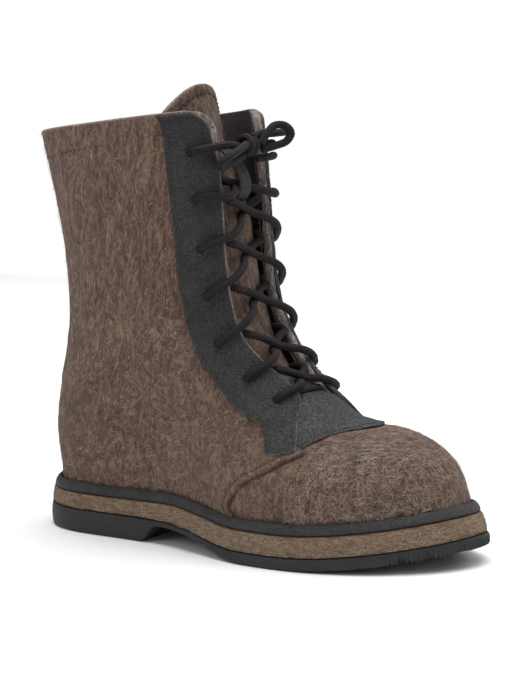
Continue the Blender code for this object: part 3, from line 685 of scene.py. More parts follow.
def lace_piece(name, paths, material):
    """One or more lengths of lace as one mesh."""
    points, faces, uv = joined([tube_mesh(path, 0.5 * LACE) for path in paths])
    return new_piece(name, points, faces, (material,), uv=uv, merge=0.02)


def stitch_mesh(points, normals, pitch, length, thick):
    """Row of stitches along a path on a surface: each is a bar that dives in at both ends."""
    run = arc(points)
    count = max(int(run[-1] / pitch), 1)
    at = (np.arange(count) + 0.5) * run[-1] / count

    def read_at(values, where):
        return np.stack([np.interp(where, run, values[:, k]) for k in range(3)], axis=-1)

    part = np.linspace(-1.0, 1.0, STITCH_RINGS)
    middle = read_at(points, at[:, None] + 0.5 * length * part)
    normal = read_at(normals, at)[:, None, :]
    ahead = unit(read_at(points, at + 0.4) - read_at(points, at - 0.4))
    across = np.cross(normal[:, 0], ahead)[:, None, :]
    sunk = (thick * (0.35 - 0.9 * np.abs(part) ** 3))[None, :, None]
    swell = (0.5 * thick * np.sqrt(1.02 - part**2))[None, :, None, None]
    circle = circles(across, normal, np.linspace(0.0, 2.0 * math.pi, STITCH_SIDES, endpoint=False))
    rings = (middle + sunk * normal)[:, :, None] + swell * circle
    tube = grid_quads(STITCH_RINGS, STITCH_SIDES, 0, True, True)
    # Two quads close the six points of the first ring, and two the last ring's
    ends = np.array(((0, 1, 2, 3), (0, 3, 4, 5), (27, 26, 25, 24), (29, 28, 27, 24)))
    faces = copies(np.concatenate((tube, ends)), count, STITCH_RINGS * STITCH_SIDES)
    return rings.reshape(-1, 3), faces, np.zeros(len(faces), int)


# ---------------------------------------------------------------- finishes


class Shade:
    """A number or colour inside a finish; arithmetic on it adds maths nodes."""

    def __init__(self, finish, socket):
        self.finish = finish
        self.socket = socket

    def __add__(self, other):
        return self.finish.maths("ADD", self, other)

    def __sub__(self, other):
        return self.finish.maths("SUBTRACT", self, other)

    def __rsub__(self, other):
        return self.finish.maths("SUBTRACT", other, self)

    def __mul__(self, other):
        return self.finish.maths("MULTIPLY", self, other)

    __radd__ = __add__
    __rmul__ = __mul__


class Finish:
    """A material and the nodes that feed its surface."""

    def __init__(self, name, roughness=0.9, **sockets):
        self.material = bpy.data.materials.new(name)
        self.material.use_nodes = True
        self.nodes = self.material.node_tree.nodes
        self.links = self.material.node_tree.links
        self.surface = self.nodes["Principled BSDF"]
        self.feed(self.surface.inputs["Roughness"], roughness)
        for key, value in sockets.items():
            self.feed(self.surface.inputs[key.replace("_", " ")], value)

    def feed(self, socket, value):
        """Link a value worked out by nodes, or set a constant."""
        if isinstance(value, Shade):
            self.links.new(value.socket, socket)
        elif isinstance(value, tuple) and len(value) == 3 and len(socket.default_value) == 4:
            socket.default_value = (*value, 1.0)
        else:
            socket.default_value = value

    def node(self, kind, settings=None, output=0, **values):
        """Any node: its type, settings and socket values."""
        made = self.nodes.new("ShaderNode" + kind)
        for key, value in (settings or {}).items():
            setattr(made, key, value)
        for key, value in values.items():
            place = int(key[1:]) if key[0] == "i" and key[1:].isdigit() else key.replace("_", " ")
            self.feed(made.inputs[place], value)
        return Shade(self, made.outputs[output])

    def operate(self, kind, operation, values):
        """Node of an operation on the values in order."""
        sockets = {f"i{k}": value for k, value in enumerate(values)}
        return self.node(kind, {"operation": operation}, **sockets)

    def maths(self, operation, *values):
        """Maths node on one, two or three values."""
        return self.operate("Math", operation, values)

    def vector(self, operation, *values):
        """Vector maths node."""
        return self.operate("VectorMath", operation, values)

    def step(self, value, low, high):
        """Smooth step from 0 at low to 1 at high."""
        kind = {"interpolation_type": "SMOOTHSTEP"}
        return self.node("MapRange", kind, Value=value, From_Min=low, From_Max=high)

    def mix(self, share, a, b):
        """Colour between a and b."""
        return self.node("Mix", {"data_type": "RGBA"}, 2, i0=share, i6=a, i7=b)

    def between(self, value, low, high, colour, dark, light):
        """A colour that goes from a darker to a lighter share of itself as the value rises."""
        return self.mix(self.step(value, low, high), toned(colour, dark), toned(colour, light))

    def pitted(self, tone, value, low, high, share, colour):
        """A tone that turns to a colour by a share where the value lies under the step."""
        return self.mix(self.step(value, low, high), self.mix(share, tone, colour), tone)

    def dusted(self, tone, value, low, high, share, colour):
        """A tone that turns to a colour by a share where the value lies over the step."""
        return self.mix(self.step(value, low, high) * share, tone, colour)

    def place(self):
        """Position on the object in metres."""
        return self.node("TexCoord", output="Object")

    def split(self, place):
        """The three parts of a position."""
        node = self.nodes.new("ShaderNodeSeparateXYZ")
        self.feed(node.inputs[0], place)
        return [Shade(self, part) for part in node.outputs]

    def noise(self, place, scale, detail, distortion=0.0, output="Fac"):
        """Noise of a scale per metre."""
        sockets = {"Vector": place, "Scale": scale, "Detail": detail, "Distortion": distortion}
        return self.node("TexNoise", None, output, **sockets)

    def warped(self, place, scale, amount):
        """Position pushed about by noise."""
        push = self.noise(place, scale, 2.0, output="Color")
        return self.vector("MULTIPLY_ADD", push, (amount, amount, amount), place)

    def stretched(self, place, x, y, z):
        """Position scaled along each axis."""
        return self.vector("MULTIPLY", place, (x, y, z))

    def streaks(self, place, angle, scale, thin):
        """Noise drawn out along a line that stands at an angle in the side view."""
        turned = self.node("VectorRotate", {"rotation_type": "Y_AXIS"}, Vector=place, Angle=angle)
        return self.noise(self.stretched(turned, thin, 1.0, 1.0), scale, 2.0)

    def thread(self, place, scale, width):
        """Curly lines, where a noise passes its middle value."""
        off = self.maths("ABSOLUTE", self.noise(place, scale, 1.0, 0.8) - 0.5)
        return 1.0 - self.step(off, 0.0, width)

    def shade(self):
        """Darkness painted on the mesh: painted shade in grooves and where parts meet, and the darker
        tone of some loose fibres.
        """
        return self.node("Attribute", {"attribute_name": "shade"}, "Fac")

    def close(self, colour, height=None, depth=0.0, strength=1.0):
        """Join the colour, and the height in metres as a bump."""
        self.feed(self.surface.inputs["Base Color"], colour)
        if height is not None:
            bump = self.node("Bump", Height=height, Distance=depth, Strength=strength)
            self.feed(self.surface.inputs["Normal"], bump)
        return self.material


def toned(colour, share):
    """A colour made lighter or darker."""
    return tuple(share * k for k in colour)


def felt_finish(name, colour, stretch=(1.0, 1.0, 1.0), pale=0.5, painted=True):
    """Wool felt: cloudy base under matted pale and dark fibres, most of them lying up the leg."""
    f = Finish(name, 0.95, Sheen_Weight=0.1, Sheen_Roughness=0.6, Specular_IOR_Level=0.1)
    x, y, z = f.split(f.stretched(f.place(), *stretch))
    drawn = f.maths("MINIMUM", z * 0.95, z * 0.5 + 0.045)
    place = f.node("CombineXYZ", X=x, Y=y, Z=drawn)
    bent = f.warped(place, 95.0, 0.016)
    wavy = f.warped(f.warped(place, 60.0, 0.02), 260.0, 0.004)
    cloud = f.noise(place, 24.0, 3.0) * 0.5 + f.noise(bent, 105.0, 4.0) * 0.5
    grain = f.noise(bent, 560.0, 6.0, 0.6)
    speck = f.noise(f.warped(place, 300.0, 0.01), 1500.0, 3.0)
    lying = [f.streaks(wavy, angle, 430.0, 0.24) for angle in (1.5, 1.05, 2.1, 0.25)]
    mottle = f.noise(f.warped(place, 140.0, 0.008), 330.0, 4.0, 0.4)
    first = f.maths("MAXIMUM", lying[0], lying[1])
    second = f.maths("MAXIMUM", lying[2], lying[3])
    bright = f.step(f.maths("MAXIMUM", first, second), 0.54, 0.72)
    deep = 1.0 - f.step(f.streaks(bent, 1.3, 300.0, 0.3), 0.34, 0.5)
    curls = f.thread(f.warped(place, 170.0, 0.014), 330.0, 0.035)
    fine = curls * f.step(f.noise(place, 200.0, 1.0), 0.42, 0.6)
    tone = f.between(cloud, 0.38, 0.62, colour, 0.82, 1.52)
    tone = f.pitted(tone, mottle, 0.38, 0.6, 0.75, toned(colour, 0.42))
    tone = f.pitted(tone, grain, 0.36, 0.64, 0.75, toned(colour, 0.38))
    tone = f.mix(deep * 0.7, tone, toned(colour, 0.42))
    light = (1.95 * colour[0] + 0.015, 1.97 * colour[1] + 0.016, 2.0 * colour[2] + 0.016)
    tone = f.mix(bright * 0.4, tone, light)
    tone = f.mix(f.maths("MAXIMUM", fine, f.step(speck, 0.58, 0.74) * 0.6) * pale, tone, light)
    # Painted shade from the mesh: darker along the seam, the channels, the stiffener's edge and the join
    # with the welt
    if painted:
        tone = f.mix(f.shade(), tone, toned(colour, 0.22))
    height = cloud * 0.4 + mottle * 0.5 + grain * 0.6 + bright * 0.35 + fine * 0.25 + speck * 0.2
    return f.close(tone, height, 0.0013, 1.0)


def pressed_finish(name, colour):
    """Pressed felt cut as a slab: streaks that run level along the edge, with pale and rusty fibres."""
    f = Finish(name, 0.92, Specular_IOR_Level=0.15)
    place = f.warped(f.place(), 60.0, 0.006)
    level = f.stretched(place, 1.0, 1.0, 9.0)
    streak = f.noise(level, 150.0, 5.0, 0.4)
    fibre = f.noise(f.stretched(place, 1.0, 1.0, 3.5), 520.0, 5.0)
    patch = f.noise(place, 32.0, 3.0)
    grain = f.noise(f.warped(place, 200.0, 0.004), 900.0, 5.0, 0.5)
    tone = f.between(streak, 0.36, 0.64, colour, 0.58, 1.32)
    tone = f.pitted(tone, grain, 0.3, 0.6, 0.6, toned(colour, 0.5))
    tone = f.dusted(tone, fibre, 0.4, 0.7, 0.5, toned(colour, 1.5))
    tone = f.dusted(tone, patch, 0.52, 0.7, 0.5, (0.19, 0.105, 0.055))
    tone = f.dusted(tone, f.noise(level, 90.0, 3.0), 0.62, 0.72, 0.5, (0.2, 0.08, 0.03))
    hair = f.thread(f.warped(level, 150.0, 0.01), 380.0, 0.03)
    tone = f.mix(hair * 0.35, tone, toned(colour, 2.6))
    # Painted shade at the slab's corners against the sole and the welt
    tone = f.mix(f.shade(), tone, toned(colour, 0.25))
    return f.close(tone, streak * 0.5 + fibre * 0.5 + grain * 0.6 + hair * 0.2, 0.0011, 1.0)


def leather_finish(name, colour, wear, roughness, size=1.0):
    """Grained leather: pebbles in two sizes, cloudy dye, fine creases and paler rubbed places."""
    f = Finish(name, Specular_IOR_Level=0.3)
    place = f.place()
    pebble = f.node("TexVoronoi", Vector=f.warped(place, 300.0, 0.002), Scale=950.0 / size)
    small = f.node("TexVoronoi", Vector=place, Scale=1700.0 / size)
    cloud = f.noise(place, 45.0, 4.0)
    dust = f.noise(place, 420.0, 5.0)
    crease = f.thread(f.warped(place, 120.0, 0.01), 90.0, 0.012) * f.step(cloud, 0.45, 0.6)
    tone = f.between(cloud, 0.32, 0.68, colour, 1.05, 1.6)
    pit = f.step(pebble, 0.05, 0.6)
    tone = f.mix(pit, toned(colour, 0.36), tone)
    tone = f.dusted(tone, dust, 0.56, 0.72, wear, toned(colour, 2.2))
    # Painted shade in the sewn channels, and where the welt meets the midsole and the upper
    tone = f.mix(f.shade(), tone, toned(colour, 0.3))
    f.feed(f.surface.inputs["Roughness"], roughness + 0.16 * f.step(dust, 0.35, 0.7) + 0.1 * cloud)
    height = pit * 0.8 - small * 0.3 + dust * 0.2 - crease * 0.5
    return f.close(tone, height, 0.0008, 1.0)


def rubber_finish(name, colour):
    """Matt moulded rubber with a dusting of lighter scuffs."""
    f = Finish(name, 0.62, Specular_IOR_Level=0.4)
    place = f.place()
    cloud = f.noise(place, 60.0, 4.0)
    grit = f.noise(place, 1300.0, 3.0)
    scuff = f.step(f.noise(f.stretched(place, 1.0, 1.0, 3.0), 220.0, 5.0), 0.6, 0.75)
    tone = f.between(cloud, 0.35, 0.65, colour, 0.8, 1.3)
    tone = f.mix(scuff * 0.3, tone, toned(colour, 3.0))
    f.feed(f.surface.inputs["Roughness"], 0.5 + 0.25 * cloud)
    return f.close(tone, grit + scuff * 0.4, 0.00025, 0.6)


def lace_finish(name, colour):
    """Round braid: two sets of slanting strands that pass over each other along the lace."""
    f = Finish(name, 0.75, Specular_IOR_Level=0.2)
    length, turn, _ = f.split(f.node("TexCoord", output="UV"))
    along = length * 2.6
    around = turn * 4.0
    first = f.maths("SINE", along + around)
    second = f.maths("SINE", along - around)
    braid = first * second
    fuzz = f.noise(f.place(), 1800.0, 3.0)
    tone = f.between(braid, -0.7, 0.7, colour, 0.65, 1.3)
    tone = f.dusted(tone, fuzz, 0.55, 0.75, 0.3, toned(colour, 3.0))
    return f.close(tone, braid * 0.8 + fuzz * 0.7, 0.0003, 0.7)


def hair_finish(name, colour):
    """Loose fibres, each as dark as its shade says."""
    f = Finish(name, 0.7, Specular_IOR_Level=0.3)
    return f.close(f.mix(f.shade(), colour, toned(colour, 0.07)))


def thread_finish(name, colour):
    """Sewing thread with a fine twist."""
    f = Finish(name, 0.7)
    twist = f.noise(f.place(), 2500.0, 2.0)
    return f.close(f.between(twist, 0.35, 0.65, colour, 0.6, 1.4), twist, 0.0002, 0.5)


# ---------------------------------------------------------------- the lace


# Middle of the knot and routes of the free lace on the straight last, in millimetres.
KNOT = (139.0, 0.0, 243.2)
KNOT_ROUTE = (
    (136.0, -3.0, 239.7),
    (141.5, -2.6, 238.8),
    (144.6, -1.8, 243.2),
    (141.5, -0.8, 247.8),
    (136.0, 0.2, 247.4),
    (133.6, 1.0, 243.2),
    (136.4, 1.9, 238.8),
    (141.8, 2.6, 238.8),
    (144.4, 3.2, 243.4),
    (142.6, 3.6, 247.2),
)
MEDIAL_LOOP = (
    (145.6, 6.7, 244.9),
    (147.4, 12.0, 251.8),
    (149.0, 17.0, 255.4),
    (153.0, 20.5, 255.0),
    (156.0, 22.0, 250.8),
    (154.5, 20.5, 246.0),
    (150.0, 15.5, 243.0),
    (145.0, 9.0, 240.8),
)
LATERAL_LOOP = (
    (143.2, -6.2, 244.0),
    (146.2, -14.7, 242.7),
    (148.5, -24.3, 240.2),
    (148.0, -32.5, 237.2),
    (145.8, -35.6, 234.2),
    (143.1, -32.9, 231.8),
    (142.1, -26.3, 231.8),
    (141.2, -18.8, 233.5),
    (141.0, -11.4, 235.5),
    (140.6, -5.8, 237.3),
)
MEDIAL_END = (
    (139.5, 8.0, 248.2),
    (142.0, 13.0, 250.2),
    (144.5, 20.0, 250.2),
    (146.5, 28.0, 250.7),
    (147.0, 37.0, 251.2),
)
LATERAL_END = (
    (142.0, 8.0, 235.2),
    (144.0, 13.0, 235.7),
    (144.0, 20.5, 236.2),
    (140.7, 28.5, 236.4),
    (135.4, 36.6, 236.0),
)


def eyelet_y(side):
    """Section and distance from the axis of each eyelet."""
    s, v = eyelet_places(side)
    return s, np.abs(last_surface(s, v, side)[:, 1])


def tie_route(side):
    """Way of the lace out of the top eyelet and over the facing to the knot."""
    s, y = (float(k[0]) for k in eyelet_y(side))
    out = over_front(s, side * np.array((y + 0.6, y + 0.3)), (-4.0, 1.5))
    over = over_front(s, side * np.linspace(y - 1.5, 22.0, 4), OVER_FACING - side * 0.3)
    stop = np.array(KNOT) + (-0.5, side * 8.5, 0.0)
    middle = 0.5 * (over[-1] + stop) + (0.8, 0.0, 0.0)
    return np.vstack((out, over, middle, stop))


def strand_route(start, finish, side, apart, held, level, share):
    """Way of a lace out of one eyelet, across the tongue, and under the other facing to the next.

    It drops by a level, in sections, on its way to the facing's edge, and climbs its share of the row
    after it.
    """
    first, last = float(edge_half(start[0])), float(edge_half(finish[0]))
    y = np.linspace(start[1] - 1.5, CROSS_END - last, 16)
    across = np.clip((first - y) / (first + last), 0.0, 1.0)
    s = start[0] + (finish[0] - start[0]) * share * across
    s = s - level * smooth_step((start[1] - y) / (start[1] - first + 6.0)) * (1.0 - across)
    drop = sagitta(s, y)
    chord = CROSS_MIDDLE - sagitta(s, 0.5 * (first + last)) + drop
    over_tongue = drop - tongue_depth(s) - tongue_drop(y) + 0.5 * LACE + LACE_EASE
    middle = (over_tongue if held else np.maximum(chord, over_tongue)) + apart
    dip = smooth_step((first - y) / first)
    over_edge = OVER_FACING - (0.9 if side > 0 else 0.3)
    rise = np.maximum(over_edge + (middle - over_edge) * dip, over_tongue - 1.2)
    out = over_front(start[0], side * np.array((start[1] + 0.8, start[1] + 0.3)), (-3.0, 1.4))
    over = over_front(s, side * y, rise)
    under_y = -side * np.array((last + 3.0, finish[1] - 4.0, finish[1]))
    under = over_front(finish[0], under_y, (-8.6, -8.8, -7.4))
    return np.vstack((out, over, under))


def make_bow(sizes, colours):
    """The knot, its two ties, two loops and two ends, each a free length of lace."""
    lace = lace_finish("braided_lace", colours["lace"])
    routes = (
        ("bow_tie_lateral", "lace_tie_lateral", tie_route(-1), "knot"),
        ("bow_tie_medial", "lace_tie_medial", tie_route(1), "knot"),
        ("bow_knot", "lace_knot", KNOT_ROUTE, "knot"),
        ("bow_loop_lateral", "lace_loop_lateral", LATERAL_LOOP, "knot"),
        ("bow_loop_medial", "lace_loop_medial", MEDIAL_LOOP, "knot"),
        ("bow_end_lateral", "lace_end_lateral", LATERAL_END, "bare"),
        ("bow_end_medial", "lace_end_medial", MEDIAL_END, "bare"),
    )
    for name, node, route, far_end in routes:
        path = along_route(route)
        item = finish_piece(lace_piece(name, [path], lace), "dark_lace", node)
        points = swing_to_right(path[:: max(1, len(path) // 30)]) * MM
        true = swing_to_right(path) * MM


def make_lacing(sizes, colours):
    """The lace's crossings, each strand drawn out of its eyelet and in behind the other facing."""
    lace = bpy.data.materials["braided_lace"]
    s, y = eyelet_y(-1)
    rows = list(zip(s, y))
    levels = ((0.36, 0.3), (-0.1, 0.12)) + ((0.0, 0.0),) * 4
    for k in range(1, len(rows)):
        share = FIRST_CLIMB if k == 1 else CROSS_CLIMB
        strands = ((1, STRAND_OVER, levels[k - 1][0]), (-1, STRAND_UNDER, levels[k - 1][1]))
        paths = [
            along_route(strand_route(rows[k], rows[k - 1], side, apart, k == 1, level, share))
            for side, apart, level in strands
        ]
        finish_piece(lace_piece(f"lacing_{k}", paths, lace), "dark_lace", f"lace_cross_{k}")
    section, reach_y = rows[-1]
    y = np.linspace(-1.0, 1.0, 13)
    rise = -3.4 + 1.2 * (1.0 - y**2) - 4.0 * smooth_step((np.abs(y) - 0.75) / 0.25)
    ends = over_front(section, np.array((-1.0, 1.0)) * (reach_y - 1.0), -8.0)
    middle = over_front(section, y * (float(edge_half(section)) + 3.0), rise)
    path = along_route(np.vstack((ends[:1], middle, ends[1:])))
    finish_piece(lace_piece("lacing_bar", [path], lace), "dark_lace", "lace_bar")


# ---------------------------------------------------------------- the sole


def station_at(turn, inset):
    """Station at a turn of a half circle from the heel to the toe, drawn in at both by the inset."""
    middle = 0.5 * LENGTH
    return middle - (middle - inset) * np.cos(turn)


def plan_stations(inset, count):
    """Stations closer together at both round ends: half circle steps."""
    return station_at(np.linspace(0.0, math.pi, count), inset)


def on_plan(station, side, inset, height):
    """Point of the sole's outline, drawn in by the inset, at a height over the sprung line."""
    x, z = bend(station, height)
    return np.stack((x, outline(station, side, inset), z), axis=-1)


def plan_ring(count, inset, height, rough, seed):
    """Closed ring round the sole's plan at a height worked out from the station, with a rough edge."""
    sides = np.repeat((-1.0, 1.0), count)
    base = plan_stations(inset, count)
    place = np.concatenate((base, base[::-1]))
    fade = smooth_step((np.minimum(place, LENGTH - place) - inset) / 3.0)
    inset = np.full(place.shape, float(inset))
    if rough:
        spots = on_plan(place, sides, inset, height(place))
        inset = inset + rough * fade * (uneven(spots, 3.0, seed) + 0.8 * uneven(spots, 11.0, seed + 1))
    return on_plan(place, sides, inset, height(place))


def cap_quads(count, start, flip):
    """Quads across a ring, from its lateral to its medial side."""
    last = start + 2 * count - 1
    i = np.arange(count - 1)
    quads = np.stack((start + i, start + i + 1, last - i - 1, last - i), axis=1)
    return quads[:, ::-1] if flip else quads


def slab(name, rings, count, material, shades=None):
    """Closed slab from rings listed from the bottom up."""
    size = 2 * count
    faces = [grid_quads(len(rings), size, 0, True, True)]
    faces += [cap_quads(count, 0, True), cap_quads(count, (len(rings) - 1) * size, False)]
    shade = None if shades is None else np.repeat(shades, size)
    points, faces = np.concatenate(rings), np.concatenate(faces)
    return new_piece(name, points, faces, (material,), shade=shade, merge=0.01)


def rings_over(levels, count, seed):
    """Rings round the plan at insets and heights over the midsole, with a slightly rough edge."""
    return [
        plan_ring(count, inset, lambda x, up=up: midsole_top(x) + up, 0.05, seed)
        for inset, up, *_ in levels
    ]


def make_midsole(sizes, colours):
    """Pressed felt slab: its edge leans in a little, with rounded and slightly ragged corners."""
    felt = pressed_finish("pressed_felt_edge", colours["midsole"])
    levels = (
        # inset, part of the thickness, painted shade where the slab meets the sole and the welt
        (6.0, 0.0, 0.0),
        (2.6, 0.0, 0.8),
        (1.95, 0.05, 0.45),
        (1.8, 0.14, 0.0),
        (1.85, 0.32, 0.0),
        (2.0, 0.5, 0.0),
        (2.3, 0.7, 0.0),
        (2.7, 0.86, 0.0),
        (3.1, 0.95, 0.35),
        (3.9, 1.0, 0.8),
        (7.0, 1.0, 0.0),
    )
    rings = []
    for k, (inset, part, _) in enumerate(levels):
        height = lambda x, part=part: midsole_bottom(x) + part * (midsole_top(x) - midsole_bottom(x))
        rough = 0.14 if 0 < k < len(levels) - 1 else 0.0
        rings.append(plan_ring(RING_POINTS, inset, height, rough, 5))
    item = slab("midsole_slab", rings, RING_POINTS, felt, [k[2] for k in levels])
    finish_piece(item, "pressed_felt", "midsole")


def make_insole(sizes, colours):
    """Felt board inside the upper."""
    felt = felt_finish("insole_felt", (0.2, 0.165, 0.125), painted=False)
    inset = UPPER_INSET + WALL + 5.0
    levels = ((inset + 2.0, 0.3), (inset, 0.9), (inset, 3.4), (inset + 0.6, 4.1), (inset + 2.4, 4.3))
    count = RING_POINTS // 2
    item = slab("felt_insole", rings_over(levels, count, 9), count, felt)
    finish_piece(item, "insole_board", "insole")


def make_welt(sizes, colours):
    """Leather rand round the foot of the upper: a rounded lip above and a broad band below."""
    hide = leather_finish("welt_leather", colours["welt"], 0.25, 0.5, 0.6)
    inner = UPPER_INSET - 0.9
    corners = (
        # inset, height, painted shade where the rand meets the midsole and the upper
        (3.9, 0.3, 0.9),
        (3.35, 0.6, 0.5),
        (3.2, 1.3, 0.0),
        (3.4, 2.6, 0.0),
        (3.9, 4.0, 0.0),
        (4.6, 5.2, 0.0),
        (5.3, 6.1, 0.0),
        (5.9, 6.5, 0.0),
        (6.5, 6.5, 0.4),
        (inner, 6.1, 0.9),
        (inner, 3.0, 0.0),
        (inner, 0.3, 0.0),
    )
    rings = rings_over(corners, RING_POINTS, 3)
    rings.append(rings[0])
    faces = grid_quads(len(rings), 2 * RING_POINTS, 0, True, True)
    shade = np.repeat([k[2] for k in corners] + [corners[0][2]], 2 * RING_POINTS)
    item = new_piece("welt_rand", np.concatenate(rings), faces, (hide,), shade=shade, merge=0.01)
    finish_piece(item, "slate_leather", "welt")


def sole_floor(station):
    """Height of the outsole's underside over the sprung line: heel block, arch, forefoot."""
    start, run = ARCH_END
    sheet = ARCH_SHEET + (OUTSOLE - ARCH_SHEET) * smooth_step((station - start) / run)
    return (midsole_bottom(station) - sheet) * smooth_step((station - HEEL_BREAST) / BREAST_RUN)


def tread_groove(station):
    """1 in the cross grooves of the tread and 0 on its lugs."""
    groove = np.zeros(np.shape(station))
    for first, last in TREAD_RUNS:
        place = (station - first) / LUG_PITCH
        wave = np.abs(place - np.round(place)) * LUG_PITCH - 0.5 * LUG
        inside = (station > first) & (station < last)
        groove = np.where(inside, np.clip(wave / LUG_FLANK, 0.0, 1.0), groove)
    return groove


def make_outsole(sizes, colours):
    """Rubber unit: sections across the sole at many stations, with lugs inside a plain rounded rim."""
    rubber = rubber_finish("moulded_rubber", colours["rubber"])
    stations = [0.0, LENGTH]
    for first, last in TREAD_RUNS:
        for k in range(int((last - first) / LUG_PITCH) + 1):
            for half in (0.5 * LUG, 0.5 * LUG + LUG_FLANK):
                stations += [first + k * LUG_PITCH - half, first + k * LUG_PITCH + half]
    fine = plan_stations(0.0, 900)
    stations += list(fine[fine > TOE_TEETH - 4.0][:-1])
    even = plan_stations(0.0, 150)
    stations += [x for x in even if min(abs(x - y) for y in stations) > 0.9]
    plan = np.array([x for x in sorted(set(stations)) if 0.0 <= x <= LENGTH])
    turn = np.arccos(np.clip(1.0 - 2.0 * plan / LENGTH, -1.0, 1.0))
    profile = (
        # inset, part of the height, part of the groove's depth
        (2.4, 1.0, 0.0),
        (1.5, 0.97, 0.0),
        (1.0, 0.8, 0.0),
        (0.8, 0.55, 0.0),
        (0.95, 0.3, 0.0),
        (1.3, 0.12, 0.0),
        (1.9, 0.03, 0.0),
        (3.0, 0.0, 0.0),
        (7.6, 0.0, 0.0),
        (8.2, 0.0, 0.5),
        (9.2, 0.0, 1.0),
    )
    rings = []
    for side in (-1, 1):
        rim = arc(np.stack((plan, outline(plan, side, 0.0)), axis=1)[::-1])[::-1]
        wave = 0.5 - 0.5 * np.cos(2.0 * math.pi * rim / TOOTH_PITCH)
        bite = wave * smooth_step((plan - TOE_TEETH + 3.0) / 10.0)
        for inset, part, depth in profile if side < 0 else profile[::-1]:
            cut = bite * (inset < 3.1) * smooth_step((0.85 - part) / 0.4)
            inset = inset + 0.9 * cut
            station = station_at(turn, inset)
            top = midsole_bottom(station) - 0.3
            teeth = smooth_step((station - TOE_TEETH) / 5.0) + smooth_step((HEEL_TEETH - station) / 5.0)
            share = depth if part > 0.3 or depth else teeth
            low = sole_floor(station) + GROOVE * tread_groove(station) * share + 1.5 * cut
            rings.append(on_plan(station, side, inset, low + part * (top - low)))
    points = np.stack(rings, axis=1)
    rows, columns = points.shape[:2]
    a = np.arange(rows - 1) * columns
    top = np.stack((a, a + columns, a + 2 * columns - 1, a + columns - 1), axis=1)
    faces = np.concatenate((grid_quads(rows, columns, flip=True), top))
    item = new_piece("rubber_sole", points.reshape(-1, 3), faces, (rubber,), merge=0.01)
    finish_piece(item, "black_rubber", "outsole")


# ---------------------------------------------------------------- the upper


def line_points(table, side, count=160):
    """Points over the surface along a line given by sections and places."""
    run = np.linspace(0.0, 1.0, len(table))
    at = np.linspace(0.0, 1.0, count)
    return last_surface(smooth_curve(run, table[:, 0], at), smooth_curve(run, table[:, 1], at), side)


def nearest(points, line):
    """Distance of each point to the nearest point of a line."""
    best = np.full(points.shape[:-1], 1e9)
    for spot in line:
        best = np.minimum(best, np.linalg.norm(points - spot, axis=-1))
    return best


def seam_scale(v):
    """Millimetres square to the quarters' seam for one section, as the seam slants across the foot."""
    run = 11.0 + 14.0 * v
    slant = (read(SEAM, v + 0.01) - read(SEAM, v - 0.01)) / 0.02 * run / 95.0
    return run / np.sqrt(1.0 + slant**2)


def seam_distance(s, v):
    """How far a place lies behind the seam of the quarters, in millimetres."""
    return (s - read(SEAM, v)) * seam_scale(v)


def felt_relief(s, v, side):
    """Rise and painted shade of the felt: the quarters' edge over the vamp, the counter and unevenness.

    The quarters step up over the seam, with a pinched line before it and a sewn channel behind it. The
    stiffener's edge and the creases of the ankle are soft ridges and troughs round their lines.
    """
    points = last_surface(s, v, side)
    gap = seam_distance(s, v)
    live = smooth_step((v - 0.2) / 0.06) * smooth_step((15.0 - s) / 3.0)
    rise = live * 1.7 * smooth_step((gap + 0.4) / 1.0) * (1.0 - smooth_step((gap - 6.0) / 26.0))
    rise = rise - live * 0.7 * hump((gap + 1.3) / 1.0) - live * 0.55 * hump((gap - SEAM_CHANNEL) / 1.1)
    # Painted shadow below the quarters' edge where it steps over the vamp, and painted shade in the sewn
    # channel behind it
    dark = live * (0.85 * hump((gap + 0.7) / 0.8) + 0.4 * hump((gap - SEAM_CHANNEL) / 0.8))
    edge = nearest(points, line_points(COUNTER, side))
    rise = rise + 0.8 * hump(edge / 5.0) - 0.7 * hump(edge / 1.3)
    # Painted shade in the trough along the stiffener's edge
    dark = dark + 0.5 * hump(edge / 1.0)
    collar = (COLLAR - s) * COLLAR_PITCH
    rise = rise - 0.6 * hump((collar - COLLAR_CHANNEL) / 1.3) * smooth_step((s - 18.0) / 1.0)
    # Painted shade in the collar's sewn channel
    dark = dark + 0.45 * hump((collar - COLLAR_CHANNEL) / 0.7)
    rise = rise - 1.6 * edge_fall(collar, 1.6)
    for line, height, width in CREASES:
        rise = rise + height * hump(nearest(points, line_points(line, side, 60)) / width)
    foot = (1.0 - v) * np.where(s < HEEL_CORNER, 70.0, 200.0)
    # Painted shade on the felt's foot where it meets the welt
    dark = dark + 0.5 * hump(np.clip(foot - 1.0, 0.0, None) / 2.5) * (s < 14.6)
    for height, size, seed in ((0.45, 46.0, 21), (0.22, 17.0, 22), (0.12, 6.5, 23)):
        rise = rise + height * uneven(points, size, seed)
    return rise, np.clip(dark, 0.0, 1.0)


def felt_grid():
    """Sections and places of one side's points, with rows crowded at the seam and the collar."""
    v = np.linspace(0.0, 1.0, 72)
    v = 0.62 * v + 0.38 * (0.55 * v**1.5 + 0.45 * (1.0 - (1.0 - v) ** 1.6))
    seam = read(SEAM, v)
    scale = seam_scale(v)
    close = seam + SEAM_ROWS[:, None] / scale
    toe = np.linspace(0.0, 1.0, 86)[:-1, None] * close[0]
    top = np.array((19.9, 19.94, 19.97, 19.99, 20.0))[:, None] + 0.0 * v
    back = close[-1] + np.linspace(0.0, 1.0, 112)[1:, None] * (19.85 - close[-1])
    s = np.concatenate((toe, close, back, top))
    start = throat_v(s)
    return s, start + (1.0 - start) * v


